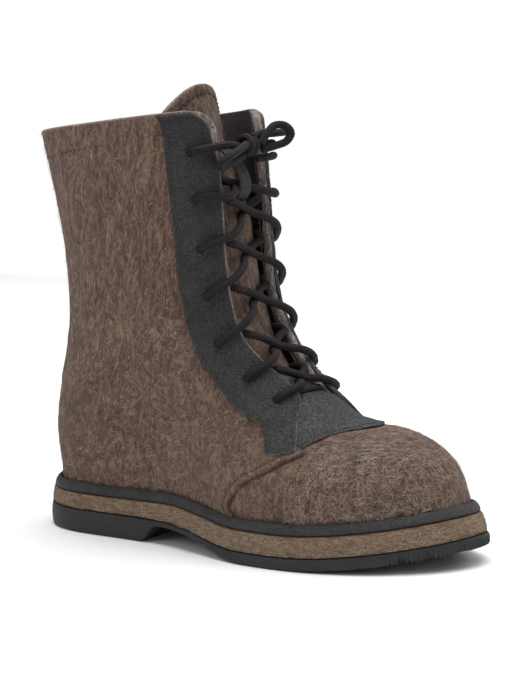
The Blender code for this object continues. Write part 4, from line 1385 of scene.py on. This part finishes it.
def make_upper(sizes, colours):
    """Felt vamp and quarters as one wall, thickened inwards."""
    felt = felt_finish("wool_felt", colours["felt"], (1.0, 1.0, 0.7))
    edge = felt_finish("cut_felt", colours["cut"], pale=0.35, painted=False)
    halves, shades = [], []
    s, v = felt_grid()
    rows = s[:, 0]
    for side in (-1, 1):
        edge_v = reach(rows, side, throat_v(rows), 0.9 + 3.6 * smooth_step((rows - 18.6) / 0.9))
        open_edge = (v[:-1, :-1] < edge_v[:-1, None]) & (rows[:-1, None] > 9.5)
        kinds = (open_edge | (s[:-1, :-1] > 19.955)).ravel()
        # dark is the felt's painted shade, stored on the mesh as its shade attribute
        rise, dark = felt_relief(s, v, side)
        grid = lifted(s, v, side, rise)
        grid[..., 1] = np.where(v == 0.0, 0.0, grid[..., 1])
        grid[..., 1] = np.where((v == 1.0) & (s >= HEEL_CORNER), 0.0, grid[..., 1])
        grid[0, :, 1] = 0.0
        halves.append((grid.reshape(-1, 3), grid_quads(*s.shape, 0, side > 0), kinds))
        shades.append(dark.ravel())
    points, faces, kinds = joined(halves)
    shade = np.concatenate(shades)
    upper = new_piece("felt_upper", points, faces, (felt, edge), kinds, shade=shade, merge=0.02)
    wall = upper.modifiers.new("wall", "SOLIDIFY")
    wall.thickness = WALL * MM
    wall.offset = -1.0
    wall.use_quality_normals = True
    wall.material_offset_rim = 1
    finish_piece(upper, "grey_brown_felt", "upper")


def facing_grid(side):
    """Sections and places of a facing: set back a little from the felt's edge, 0 to 1 across."""
    foot = np.linspace(7.47, 9.4, 50)
    s = np.concatenate((foot, np.linspace(9.43, 19.5, 150), np.linspace(19.53, 19.94, 16)))
    back = 0.9 + 3.4 * smooth_step((s - 18.6) / 0.9)
    corner = corner_rise(s)
    start = front_v(s, edge_half(s) + corner * (1.0 + 0.06 * smooth_step((s - 19.0) / 0.5)) + back)
    width = np.maximum(read(EDGES, s, 2) - corner - back, 1.0)
    end = reach(s, side, start, width)
    u = np.linspace(0.0, 1.0, 26)
    u = 0.5 - 0.5 * np.cos(math.pi * u) * (0.75 + 0.25 * np.abs(np.cos(math.pi * u)))
    return s, u, start, end, width


def facing_rise(s):
    """Height of the facing's upper face: it climbs over the gusset's leather at its foot."""
    return 2.2 + 0.9 * (1.0 - smooth_step((s - 9.7) / 1.4))


def eyelet_cutter(side):
    """Cylinders square to the surface at the eyelets."""
    s, v = eyelet_places(side)
    foot = last_surface(s, v, side)
    normal = outward(s, v, side * np.ones(len(s)))
    across = unit(np.cross(normal, (0.0, 0.0, 1.0)))
    turn = np.linspace(0.0, 2.0 * math.pi, EYELET_SIDES, endpoint=False)
    circle = circles(across, np.cross(normal, across), turn)
    shape = bmesh.new()
    for k in range(len(s)):
        rings = [foot[k] + high * normal[k] + 0.5 * EYELET_BORE * circle[k] for high in (-3.0, 6.0)]
        low, high = ([shape.verts.new(p) for p in swing_to_right(ring) * MM] for ring in rings)
        shape.faces.new(low)
        shape.faces.new(high[::-1])
        for a in range(EYELET_SIDES):
            b = (a + 1) % EYELET_SIDES
            shape.faces.new((low[b], low[a], high[a], high[b]))
    bmesh.ops.recalc_face_normals(shape, faces=shape.faces)
    for face in shape.faces:
        face.material_index = 2
    mesh = bpy.data.meshes.new("punch")
    shape.to_mesh(mesh)
    shape.free()
    return add_item("punch", mesh)


def punched(item, side):
    """The piece with its eyelets cut out for good."""
    tool = eyelet_cutter(side)
    hole = item.modifiers.new("eyelets", "BOOLEAN")
    hole.operation = "DIFFERENCE"
    hole.solver = "EXACT"
    hole.object = tool
    bpy.context.view_layer.update()
    made = bpy.data.meshes.new_from_object(item.evaluated_get(bpy.context.evaluated_depsgraph_get()))
    item.modifiers.clear()
    item.data = made
    bpy.data.objects.remove(tool, do_unlink=True)
    return item


def make_facings(sizes, colours):
    """Leather strips along the throat with punched eyelets, and the dark lining behind them.

    A facing is a sheet between two heights over the felt; its edges are rounded and a sewn channel runs
    round it.
    """
    hide = leather_finish("facing_leather", colours["leather"], 0.3, 0.5)
    raw = leather_finish("facing_edge", toned(colours["leather"], 3.5), 0.5, 0.7)
    lining = leather_finish("facing_lining", colours["lining"], 0.15, 0.5)
    for side, label in ((-1, "lateral"), (1, "medial")):
        s, u, start, end, width = facing_grid(side)
        v = start[:, None] + (end - start)[:, None] * u
        points = last_surface(s[:, None] + 0.0 * v, v, side)
        across = width[:, None] * np.minimum(u, 1.0 - u)
        ends = np.minimum((s - s[0]) * FOOT_PITCH, (s[-1] - s) * COLLAR_PITCH)[:, None]
        rim = np.minimum(across, ends + 0.0 * across)
        round_off = 0.8 * edge_fall(rim, 0.9)
        channel = hump((rim - FACING_CHANNEL) / 0.6)
        rise = facing_rise(s)[:, None] - round_off - 0.2 * channel + 0.12 * uneven(points, 13.0, 31)
        rise = rise + 0.1 * uneven(points, 30.0, 32)
        outer = lifted(s[:, None], v, side, rise)
        inner = lifted(s[:, None], v, side, np.minimum(rise - 0.5, facing_rise(s)[:, None] - 1.9))
        made, faces, kinds = sheet_mesh(outer, inner, side > 0)
        front = kinds[: (s.size - 1) * (u.size - 1)].reshape(s.size - 1, u.size - 1)
        front[rim[:-1, :-1] < 0.5] = 2
        # Painted shade in the facing's sewn channel
        item = new_piece(
            f"facing_{label}", made, faces, (hide, hide, raw), kinds, shade=on_front(0.35 * channel)
        )
        finish_piece(punched(item, side), "slate_leather", f"{label}_facing")
        s = np.concatenate((np.linspace(9.75, 19.4, 90), np.linspace(19.43, 19.97, 16)))
        start = front_v(s, edge_half(s) + corner_rise(s))
        end = reach(s, side, start, np.maximum(LINING_WIDTH - corner_rise(s), 4.0))
        v = start[:, None] + (end - start)[:, None] * np.linspace(0.0, 1.0, 22)
        made, faces, kinds = sheet_mesh(
            lifted(s[:, None], v, side, -WALL - 0.1), lifted(s[:, None], v, side, -WALL - 1.0), side > 0
        )
        item = new_piece(f"lining_{label}", made, faces, (lining,), kinds * 0)
        finish_piece(item, "slate_leather")


def gusset_rise(s, y):
    """The gusset lies on the vamp and drops into the foot of the throat."""
    middle = 1.0 - 0.25 * np.clip(np.abs(y) / 20.0, 0.0, 1.0)
    return 1.15 - 9.4 * smooth_step((s - 9.15) / 0.95) * middle


def make_gusset(sizes, colours):
    """Leather over the vamp's top, between the legs of the facings and down into the throat.

    Rows run from the lower edge's line up to the throat, and each column keeps its part of the width.
    """
    hide = leather_finish("gusset_leather", colours["gusset"], 0.2, 0.42)
    raw = leather_finish("gusset_edge", toned(colours["gusset"], 0.5), 0.3, 0.7)
    part = np.linspace(0.0, 1.0, 70)[:, None]
    half = 41.0 - 14.0 * smooth_step(part / 0.9)
    y = half * np.linspace(-1.0, 1.0, 81)
    low = read(GUSSET_EDGE, np.abs(y))
    s = low + (10.35 - low) * part
    edge = (s - low) * GUSSET_PITCH
    round_off = 0.7 * edge_fall(edge, 0.8)
    channel = hump((edge - GUSSET_CHANNEL) / 0.5)
    points = over_front(s, y, 0.0 * y)
    rise = gusset_rise(s, y) - round_off - 0.3 * channel + 0.15 * uneven(points, 16.0, 41)
    rise = rise + 0.5 * hump((edge - 16.0) / 8.0) * hump(y / 18.0)
    outer = over_front(s, y, rise)
    inner = over_front(s, y, np.minimum(rise - 0.4, gusset_rise(s, y) - 1.1))
    middle = y.shape[1] // 2
    outer[:, middle, 1] = 0.0
    inner[:, middle, 1] = 0.0
    made, faces, kinds = sheet_mesh(outer, inner, True)
    # Painted shade in the gusset's sewn channel
    shade = on_front(0.5 * channel)
    item = new_piece("gusset_leather_web", made, faces, (hide, hide, raw), kinds, shade=shade)
    finish_piece(item, "slate_leather", "throat_gusset")


def tongue_top(across):
    """Section of the tongue's arched top, across from -1 to 1."""
    return TONGUE_HIGH - 0.4 + (TONGUE_ARCH + 0.57) * (1.0 - np.abs(across) ** 2.1)


def tongue_grid():
    """Sections of the tongue's points, their distances across, and how far they lie below its top."""
    across = np.linspace(-1.0, 1.0, 61)
    top = tongue_top(across)
    up = np.linspace(0.0, 1.0, 120)[:, None]
    up = np.sort(np.concatenate((up, (0.985, 0.992, 0.997) * np.ones((1, 3))), axis=None))[:, None]
    s = TONGUE_LOW + up * (top - TONGUE_LOW)
    half = TONGUE_FOOT + (TONGUE_HALF - TONGUE_FOOT) * smooth_step((s - 13.5) / 5.0)
    return s, across * half, (top - s) * COLLAR_PITCH


def make_tongue(sizes, colours):
    """Felt tongue, a sheet from its round front to a back 5 mm behind, and the lace keeper's strap."""
    felt = felt_finish("tongue_felt", colours["felt"], (1.0, 1.0, 0.8))
    edge = felt_finish("tongue_cut", colours["cut"], pale=0.4, painted=False)
    s, y, below = tongue_grid()
    points = on_tongue(s, y)
    round_off = 1.5 * edge_fall(below, 1.6)
    channel = hump((below - TONGUE_CHANNEL) / 1.0)
    swell = 0.35 * uneven(points, 30.0, 51) + 0.2 * uneven(points, 11.0, 52)
    swell = swell + 0.1 * uneven(points, 5.0, 53)
    front = on_tongue(s, y, swell - round_off - 0.6 * channel)
    back = on_tongue(s, y, round_off - WALL + 0.2 * uneven(points, 20.0, 54))
    made, faces, kinds = sheet_mesh(front, back, True)
    # Painted shade in the tongue's sewn channel
    shade = on_front(0.6 * channel)
    item = new_piece("felt_tongue", made, faces, (felt, felt, edge), kinds, shade=shade)
    finish_piece(item, "grey_brown_felt", "tongue")
    hide = leather_finish("keeper_leather", toned(colours["leather"], 0.8), 0.3, 0.5)
    span = np.linspace(KEEPER_LOW, KEEPER_HIGH, 50)[:, None]
    part = (span - KEEPER_LOW) / (KEEPER_HIGH - KEEPER_LOW)
    rise = 2.1 + (KEEPER_STAND - 2.1) * np.sin(math.pi * np.clip(part, 0.0, 1.0)) ** 0.35
    across = np.linspace(-1.0, 1.0, 9)
    y = KEEPER_Y + 0.5 * KEEPER_WIDTH * across
    crown = 0.3 * np.clip(1.0 - np.abs(across), 0.0, 0.25) / 0.25
    made, faces, kinds = sheet_mesh(
        on_tongue(span, y[None], rise - 0.3 + crown), on_tongue(span, y[None], rise - 1.8), True
    )
    item = new_piece("lace_keeper_strap", made, faces, (hide,), kinds * 0)
    finish_piece(item, "slate_leather", "lace_keeper")


# ---------------------------------------------------------------- stitches and fibres


def sewn(s, v, side, rise, stitch):
    """Row of stitches on the last's surface."""
    side = side * np.ones(np.shape(s))
    return stitch_mesh(lifted(s, v, side, rise), outward(s, v, side), *stitch)


def make_stitches(sizes, colours):
    """Rows of stitches: collar, seam of the quarters, facings, gusset and tongue."""
    brown = thread_finish("felt_thread", (0.035, 0.022, 0.018))
    slate = thread_finish("leather_thread", (0.03, 0.03, 0.032))
    felt_rows, hide_rows = [], []
    for side in (-1, 1):
        v = np.linspace(float(throat_v(np.array(19.6))), 1.0, 240)
        s = np.full(v.shape, COLLAR - COLLAR_CHANNEL / COLLAR_PITCH)
        felt_rows.append(sewn(s, v, side, -0.45, COLLAR_STITCH))
        v = np.linspace(0.24, 0.99, 300)
        s = read(SEAM, v) + SEAM_CHANNEL / seam_scale(v)
        felt_rows.append(sewn(s, v, side, 1.1, SEAM_STITCH))
        s, _, start, end, width = facing_grid(side)
        part = FACING_CHANNEL / np.maximum(width, 4.0)
        for share, keep in ((1.0 - part, s > 7.9), (part, (s > 8.0) & (s < 19.6))):
            v = start + (end - start) * share
            hide_rows.append(sewn(s[keep], v[keep], side, facing_rise(s[keep]) - 0.15, FACING_STITCH))
    y = np.linspace(-39.0, 39.0, 160)
    s = read(GUSSET_EDGE, np.abs(y)) + GUSSET_CHANNEL / GUSSET_PITCH
    hide_rows.append(sewn(s, front_v(s, y), np.where(y < 0.0, -1.0, 1.0), 0.95, GUSSET_STITCH))
    across = np.linspace(-0.93, 0.93, 120)
    s = tongue_top(across) - TONGUE_CHANNEL / COLLAR_PITCH
    y = across * TONGUE_HALF
    path = on_tongue(s, y)
    felt_rows.append(stitch_mesh(path, on_tongue(s, y, 1.0) - path, *TONGUE_STITCH))
    for name, rows, finish, slot in (
        ("felt_stitches", felt_rows, brown, "grey_brown_felt"),
        ("leather_stitches", hide_rows, slate, "slate_leather"),
    ):
        points, faces, _ = joined(rows)
        finish_piece(new_piece(name, points, faces, (finish,)), slot)


def fibres(surface, count, length, seed, thick, upright):
    """Loose fibres on a surface given by two parameters between 0 and 1.

    Each starts at a random place, wanders with a random turn at every step, and stands off the felt by a
    random height along its length. It is drawn as a thin three-sided tube that tapers to both ends.
    """
    rng = np.random.default_rng(seed)
    a, b = rng.random(count), rng.random(count)
    foot, _ = surface(a, b)
    step = 0.002
    per_a = np.linalg.norm(surface(np.clip(a + step, 0, 1), b)[0] - foot, axis=-1) / step + 1e-3
    per_b = np.linalg.norm(surface(a, np.clip(b + step, 0, 1))[0] - foot, axis=-1) / step + 1e-3
    weight = per_a * per_b * np.clip(1.0 + 0.35 * uneven(foot, 5.0, seed), 0.2, None)
    keep = rng.random(count) < weight / np.quantile(weight, 0.97)
    a, b, per_a, per_b = a[keep], b[keep], per_a[keep], per_b[keep]
    count = len(a)
    run = length * rng.uniform(0.35, 1.25, count)
    way = (math.pi * rng.integers(0, 2, count) + rng.normal(0.0, upright, count))[:, None]
    bias = rng.normal(0.0, 0.5, (count, 1)) * FIBRE_CURL
    turns = np.cumsum(rng.normal(0.0, FIBRE_CURL, (count, FIBRE_STEPS)) + bias, axis=1)
    hop = (run / FIBRE_STEPS)[:, None]
    walks = []
    for start, scale, turned in ((a, per_a, np.cos), (b, per_b, np.sin)):
        walk = np.cumsum(turned(way + turns) * hop, axis=1) / scale[:, None]
        walk = np.concatenate((np.zeros((count, 1)), walk), axis=1)
        walks.append(np.clip(start[:, None] + walk, 0.0, 1.0))
    points, normals = surface(*walks)
    part = np.linspace(0.0, 1.0, FIBRE_STEPS + 1)
    high = rng.random((count, 1)) ** 2.2 * FIBRE_STAND
    tail = rng.random((count, 1)) ** 4.0 * FIBRE_STAND * 4.5
    rise = high * np.sin(math.pi * part) + tail * part**1.5 + 0.05
    path = points + rise[..., None] * normals
    ahead = unit(np.gradient(path, axis=1), 1e-6)
    side = unit(np.cross(ahead, normals), 1e-6)
    up = np.cross(side, ahead)
    taper = 1.0 - np.abs(2.0 * part - 1.0) ** 3.0
    radius = (thick * rng.uniform(0.55, 1.25, (count, 1)) * taper)[..., None]
    corners = [path + radius * (math.cos(t) * side + math.sin(t) * up) for t in (0.5, 2.6, 4.7)]
    rings = np.stack(corners, axis=2)
    size = 3 * (FIBRE_STEPS + 1)
    faces = copies(grid_quads(FIBRE_STEPS + 1, 3, 0, False, True), count, size)
    tone = np.repeat(rng.random(count), size)
    return rings.reshape(-1, 3), faces, tone


def felt_patch(side, low, high, first=0.0):
    """Part of the felt's surface between two sections, as a function of two parameters."""

    def surface(a, b):
        top = np.full(np.shape(b), float(high))
        if high < THROAT:
            for _ in range(5):
                y = np.abs(last_surface(top, b, side)[..., 1])
                top = np.minimum(high, read(GUSSET_EDGE, y) - 0.2)
        s = low + (top - low) * a
        start = np.maximum(throat_v(s), first)
        v = start + (1.0 - start) * b
        sides = np.full(s.shape, float(side))
        base = 0.75 * smooth_step(seam_distance(s, v) - 0.3) * (1.0 - smooth_step((s - 9.5) / 2.0))
        normal = outward(s, v, sides)
        return last_surface(s, v, sides) + base[..., None] * normal, normal

    return surface


def midsole_patch(side):
    """One side of the midsole's edge, from the heel to the toe, as a function of two parameters."""

    def place(a, b):
        inset = 1.9 + 1.0 * b
        station = station_at(math.pi * a, inset)
        low, high = midsole_bottom(station), midsole_top(station)
        return on_plan(station, side, inset, low + (high - low) * (0.06 + 0.86 * b))

    def surface(a, b):
        a = 0.01 + 0.98 * a
        along = place(a + 0.004, b) - place(a - 0.004, b)
        up = place(a, b + 0.01) - place(a, b - 0.01)
        return place(a, b), unit(side * np.cross(up, along))

    return surface


def tongue_patch(a, b):
    """Front of the tongue above and between the facings, as a function of two parameters."""
    half = 24.0 + 12.0 * smooth_step((a - 0.86) / 0.07)
    y = half * (2.0 * b - 1.0)
    s = 10.5 + (tongue_top(y / TONGUE_HALF) - 10.65) * a
    point = on_tongue(s, y)
    return point, unit(on_tongue(s, y, 1.0) - point)


def make_fibres(sizes, colours):
    """Loose pale and dark fibres that stand off the felt."""
    finish = hair_finish("loose_fibre", colours["fibre"])
    jobs = (
        # name, surface, count, length, seed, spread of the directions about the first parameter's
        ("fibres_vamp_lateral", felt_patch(-1, 0.15, 7.6), 7000, 11.0, 61, 1.5),
        ("fibres_vamp_medial", felt_patch(1, 0.15, 7.6), 5000, 11.0, 62, 1.5),
        ("fibres_quarter_lateral", felt_patch(-1, 8.6, 19.95, 0.22), 9000, 7.5, 63, 0.75),
        ("fibres_quarter_medial", felt_patch(1, 8.6, 19.95, 0.22), 6000, 7.5, 64, 0.75),
        ("fibres_tongue", tongue_patch, 2600, 8.0, 65, 0.7),
        ("fibres_midsole_lateral", midsole_patch(-1), 2600, 8.0, 66, 0.3),
        ("fibres_midsole_medial", midsole_patch(1), 2000, 8.0, 67, 0.3),
    )
    for name, surface, count, length, seed, upright in jobs:
        count = int(count * sizes.fibres)
        points, faces, tone = fibres(surface, count, length, seed, sizes.fibre_width, upright)
        shade = smooth_step((tone - 0.45) / 0.4)
        item = new_piece(name, points, faces, (finish,), shade=shade, merge=0.002)
        finish_piece(item, "grey_brown_felt")


# ---------------------------------------------------------------- the stage


def make_stage(sizes, colours):
    """Pale floor, soft lights and a camera to the boot's outer side."""
    scene = bpy.context.scene
    camera = bpy.data.cameras.new("boot_camera")
    camera.lens = LENS
    camera.sensor_width = 36.0
    camera.clip_end = 50.0
    eye = add_item("boot_camera", camera)
    eye.location = EYE_PLACE
    eye.rotation_euler = (math.radians(EYE_TILT), 0.0, math.radians(EYE_TURN))
    scene.camera = eye
    world = bpy.data.worlds.new("studio")
    world.use_nodes = True
    seen = world.node_tree.nodes.new("ShaderNodeLightPath")
    level = world.node_tree.nodes.new("ShaderNodeMapRange")
    level.inputs["To Min"].default_value = sizes.sky
    backdrop = world.node_tree.nodes["Background"]
    backdrop.inputs["Color"].default_value = (1.0, 1.0, 1.0, 1.0)
    world.node_tree.links.new(seen.outputs["Is Camera Ray"], level.inputs["Value"])
    world.node_tree.links.new(level.outputs["Result"], backdrop.inputs["Strength"])
    scene.world = world
    scene.view_settings.view_transform = "Standard"
    lamps = (
        # name, place, target, width and power
        ("top", (0.15, 0.1, 2.2), (0.1, 0.0, 0.0), 2.4, 64.0),
        ("front", (-0.7, -2.0, 1.3), (0.05, 0.0, 0.1), 1.4, 10.0),
        ("back", (1.3, 1.5, 1.5), (0.1, 0.0, 0.12), 1.4, 16.0),
    )
    for name, place, target, size, power in lamps:
        lamp = bpy.data.lights.new(name, "AREA")
        lamp.shape = "DISK"
        lamp.size = size
        lamp.energy = power
        item = add_item(name, lamp)
        item.location = place
        aim = np.array(place) - np.array(target)
        flat = math.hypot(aim[0], aim[1])
        item.rotation_euler = (math.atan2(flat, aim[2]), 0.0, math.atan2(aim[1], aim[0]) + 0.5 * math.pi)
    paper = Finish("pale_floor", 0.9, Specular_IOR_Level=0.1)
    paper.close((0.93, 0.93, 0.93))
    t = np.linspace(-FLOOR_HALF, FLOOR_HALF, 3)
    x, y = np.meshgrid(t, t, indexing="ij")
    mesh = bpy.data.meshes.new("floor")
    points = np.stack((x, y, 0.0 * x), axis=-1).reshape(-1, 3)
    mesh.from_pydata(points.tolist(), [], grid_quads(3, 3).tolist())
    mesh.materials.append(paper.material)
    add_item("floor", mesh)


# ---------------------------------------------------------------- the add-on


class BootSizes(bpy.types.PropertyGroup):
    """Sizes and amounts that a user may change."""

    fibres: bpy.props.FloatProperty(
        name="Fibres",
        description="Share of the loose fibres",
        default=1.0,
        min=0.0,
        max=1.0,
        subtype="FACTOR",
    )
    fibre_width: bpy.props.FloatProperty(
        name="Fibre width",
        description="Half thickness of a loose fibre in millimetres",
        default=0.07,
        min=0.01,
    )
    sky: bpy.props.FloatProperty(
        name="Sky", description="Strength of the light all round", default=0.35, min=0.0
    )


def colour(label, value):
    """Colour property with a default."""
    return bpy.props.FloatVectorProperty(
        name=label,
        description=f"Base colour of the {label.lower()}",
        subtype="COLOR",
        size=3,
        default=value,
    )


class BootColours(bpy.types.PropertyGroup):
    """Base colours of the boot's finishes."""

    felt: colour("Felt", (0.151, 0.092, 0.067))
    cut: colour("Cut felt", (0.25, 0.205, 0.185))
    leather: colour("Facing leather", (0.0228, 0.0223, 0.023))
    # The gusset's own slate leather, set lighter than the facings' with painted sheen from above
    gusset: colour("Gusset leather", (0.0292, 0.0296, 0.0318))
    welt: colour("Welt leather", (0.032, 0.031, 0.031))
    lining: colour("Lining", (0.055, 0.046, 0.052))
    midsole: colour("Midsole felt", (0.225, 0.161, 0.109))
    rubber: colour("Sole rubber", (0.014, 0.014, 0.014))
    lace: colour("Lace", (0.013, 0.0105, 0.011))
    fibre: colour("Loose fibres", (0.42, 0.34, 0.28))


def chosen(context):
    """Sizes and colours of the scene."""
    group = context.scene.boot_colours
    colours = {key: tuple(getattr(group, key)) for key in group.__annotations__}
    return context.scene.boot_sizes, colours


class BOOT_OT_stage(bpy.types.Operator):
    """Add the pale floor, the lights and the camera"""

    bl_idname = "boot.stage"
    bl_label = "Stage"

    def execute(self, context):
        make_stage(*chosen(context))
        return {"FINISHED"}


class BOOT_OT_bow(bpy.types.Operator):
    """Add the knot, loops, ties and ends of the lace"""

    bl_idname = "boot.bow"
    bl_label = "Bow"

    def execute(self, context):
        make_bow(*chosen(context))
        return {"FINISHED"}


class BOOT_OT_lacing(bpy.types.Operator):
    """Add the crossings and the bar of the lace"""

    bl_idname = "boot.lacing"
    bl_label = "Lacing"

    def execute(self, context):
        make_lacing(*chosen(context))
        return {"FINISHED"}


class BOOT_OT_outsole(bpy.types.Operator):
    """Add the treaded rubber sole"""

    bl_idname = "boot.outsole"
    bl_label = "Rubber sole"

    def execute(self, context):
        make_outsole(*chosen(context))
        return {"FINISHED"}


class BOOT_OT_midsole(bpy.types.Operator):
    """Add the pressed felt slab between sole and upper"""

    bl_idname = "boot.midsole"
    bl_label = "Midsole"

    def execute(self, context):
        make_midsole(*chosen(context))
        return {"FINISHED"}


class BOOT_OT_welt(bpy.types.Operator):
    """Add the leather strip round the foot of the upper"""

    bl_idname = "boot.welt"
    bl_label = "Welt"

    def execute(self, context):
        make_welt(*chosen(context))
        return {"FINISHED"}


class BOOT_OT_insole(bpy.types.Operator):
    """Add the felt board inside the boot"""

    bl_idname = "boot.insole"
    bl_label = "Insole"

    def execute(self, context):
        make_insole(*chosen(context))
        return {"FINISHED"}


class BOOT_OT_upper(bpy.types.Operator):
    """Add the felt shell"""

    bl_idname = "boot.upper"
    bl_label = "Felt upper"

    def execute(self, context):
        make_upper(*chosen(context))
        return {"FINISHED"}


class BOOT_OT_facings(bpy.types.Operator):
    """Add the two eyelet strips and their linings"""

    bl_idname = "boot.facings"
    bl_label = "Facings"

    def execute(self, context):
        make_facings(*chosen(context))
        return {"FINISHED"}


class BOOT_OT_gusset(bpy.types.Operator):
    """Add the leather web at the foot of the throat"""

    bl_idname = "boot.gusset"
    bl_label = "Gusset"

    def execute(self, context):
        make_gusset(*chosen(context))
        return {"FINISHED"}


class BOOT_OT_tongue(bpy.types.Operator):
    """Add the felt tongue and its lace keeper"""

    bl_idname = "boot.tongue"
    bl_label = "Tongue and keeper"

    def execute(self, context):
        make_tongue(*chosen(context))
        return {"FINISHED"}


class BOOT_OT_stitches(bpy.types.Operator):
    """Add the rows of sewing thread"""

    bl_idname = "boot.stitches"
    bl_label = "Stitches"

    def execute(self, context):
        make_stitches(*chosen(context))
        return {"FINISHED"}


class BOOT_OT_fibres(bpy.types.Operator):
    """Add loose fibres over the felt"""

    bl_idname = "boot.fibres"
    bl_label = "Loose fibres"

    def execute(self, context):
        make_fibres(*chosen(context))
        return {"FINISHED"}


OPERATORS = (
    BOOT_OT_stage,
    BOOT_OT_bow,
    BOOT_OT_lacing,
    BOOT_OT_outsole,
    BOOT_OT_midsole,
    BOOT_OT_welt,
    BOOT_OT_insole,
    BOOT_OT_upper,
    BOOT_OT_facings,
    BOOT_OT_gusset,
    BOOT_OT_tongue,
    BOOT_OT_stitches,
    BOOT_OT_fibres,
)


class BOOT_PT_pieces(bpy.types.Panel):
    """Lists the boot's pieces, sizes and colours."""

    bl_label = "Felt boot"
    bl_idname = "BOOT_PT_pieces"
    bl_space_type = "VIEW_3D"
    bl_region_type = "UI"
    bl_category = "Boot"

    def draw(self, context):
        for group in (context.scene.boot_sizes, context.scene.boot_colours):
            for key in group.__annotations__:
                self.layout.prop(group, key)
        for made in OPERATORS:
            self.layout.operator(made.bl_idname)


CLASSES = (BootSizes, BootColours, *OPERATORS, BOOT_PT_pieces)


def register():
    """Add the classes and the scene's settings."""
    for made in CLASSES:
        bpy.utils.register_class(made)
    bpy.types.Scene.boot_sizes = bpy.props.PointerProperty(type=BootSizes)
    bpy.types.Scene.boot_colours = bpy.props.PointerProperty(type=BootColours)


def unregister():
    """Take them away again."""
    del bpy.types.Scene.boot_colours
    del bpy.types.Scene.boot_sizes
    for made in reversed(CLASSES):
        bpy.utils.unregister_class(made)


def main():
    """Make every piece in order."""
    register()
    for made in OPERATORS:
        getattr(bpy.ops.boot, made.bl_idname.split(".")[1])()


if __name__ == "__main__":
    main()
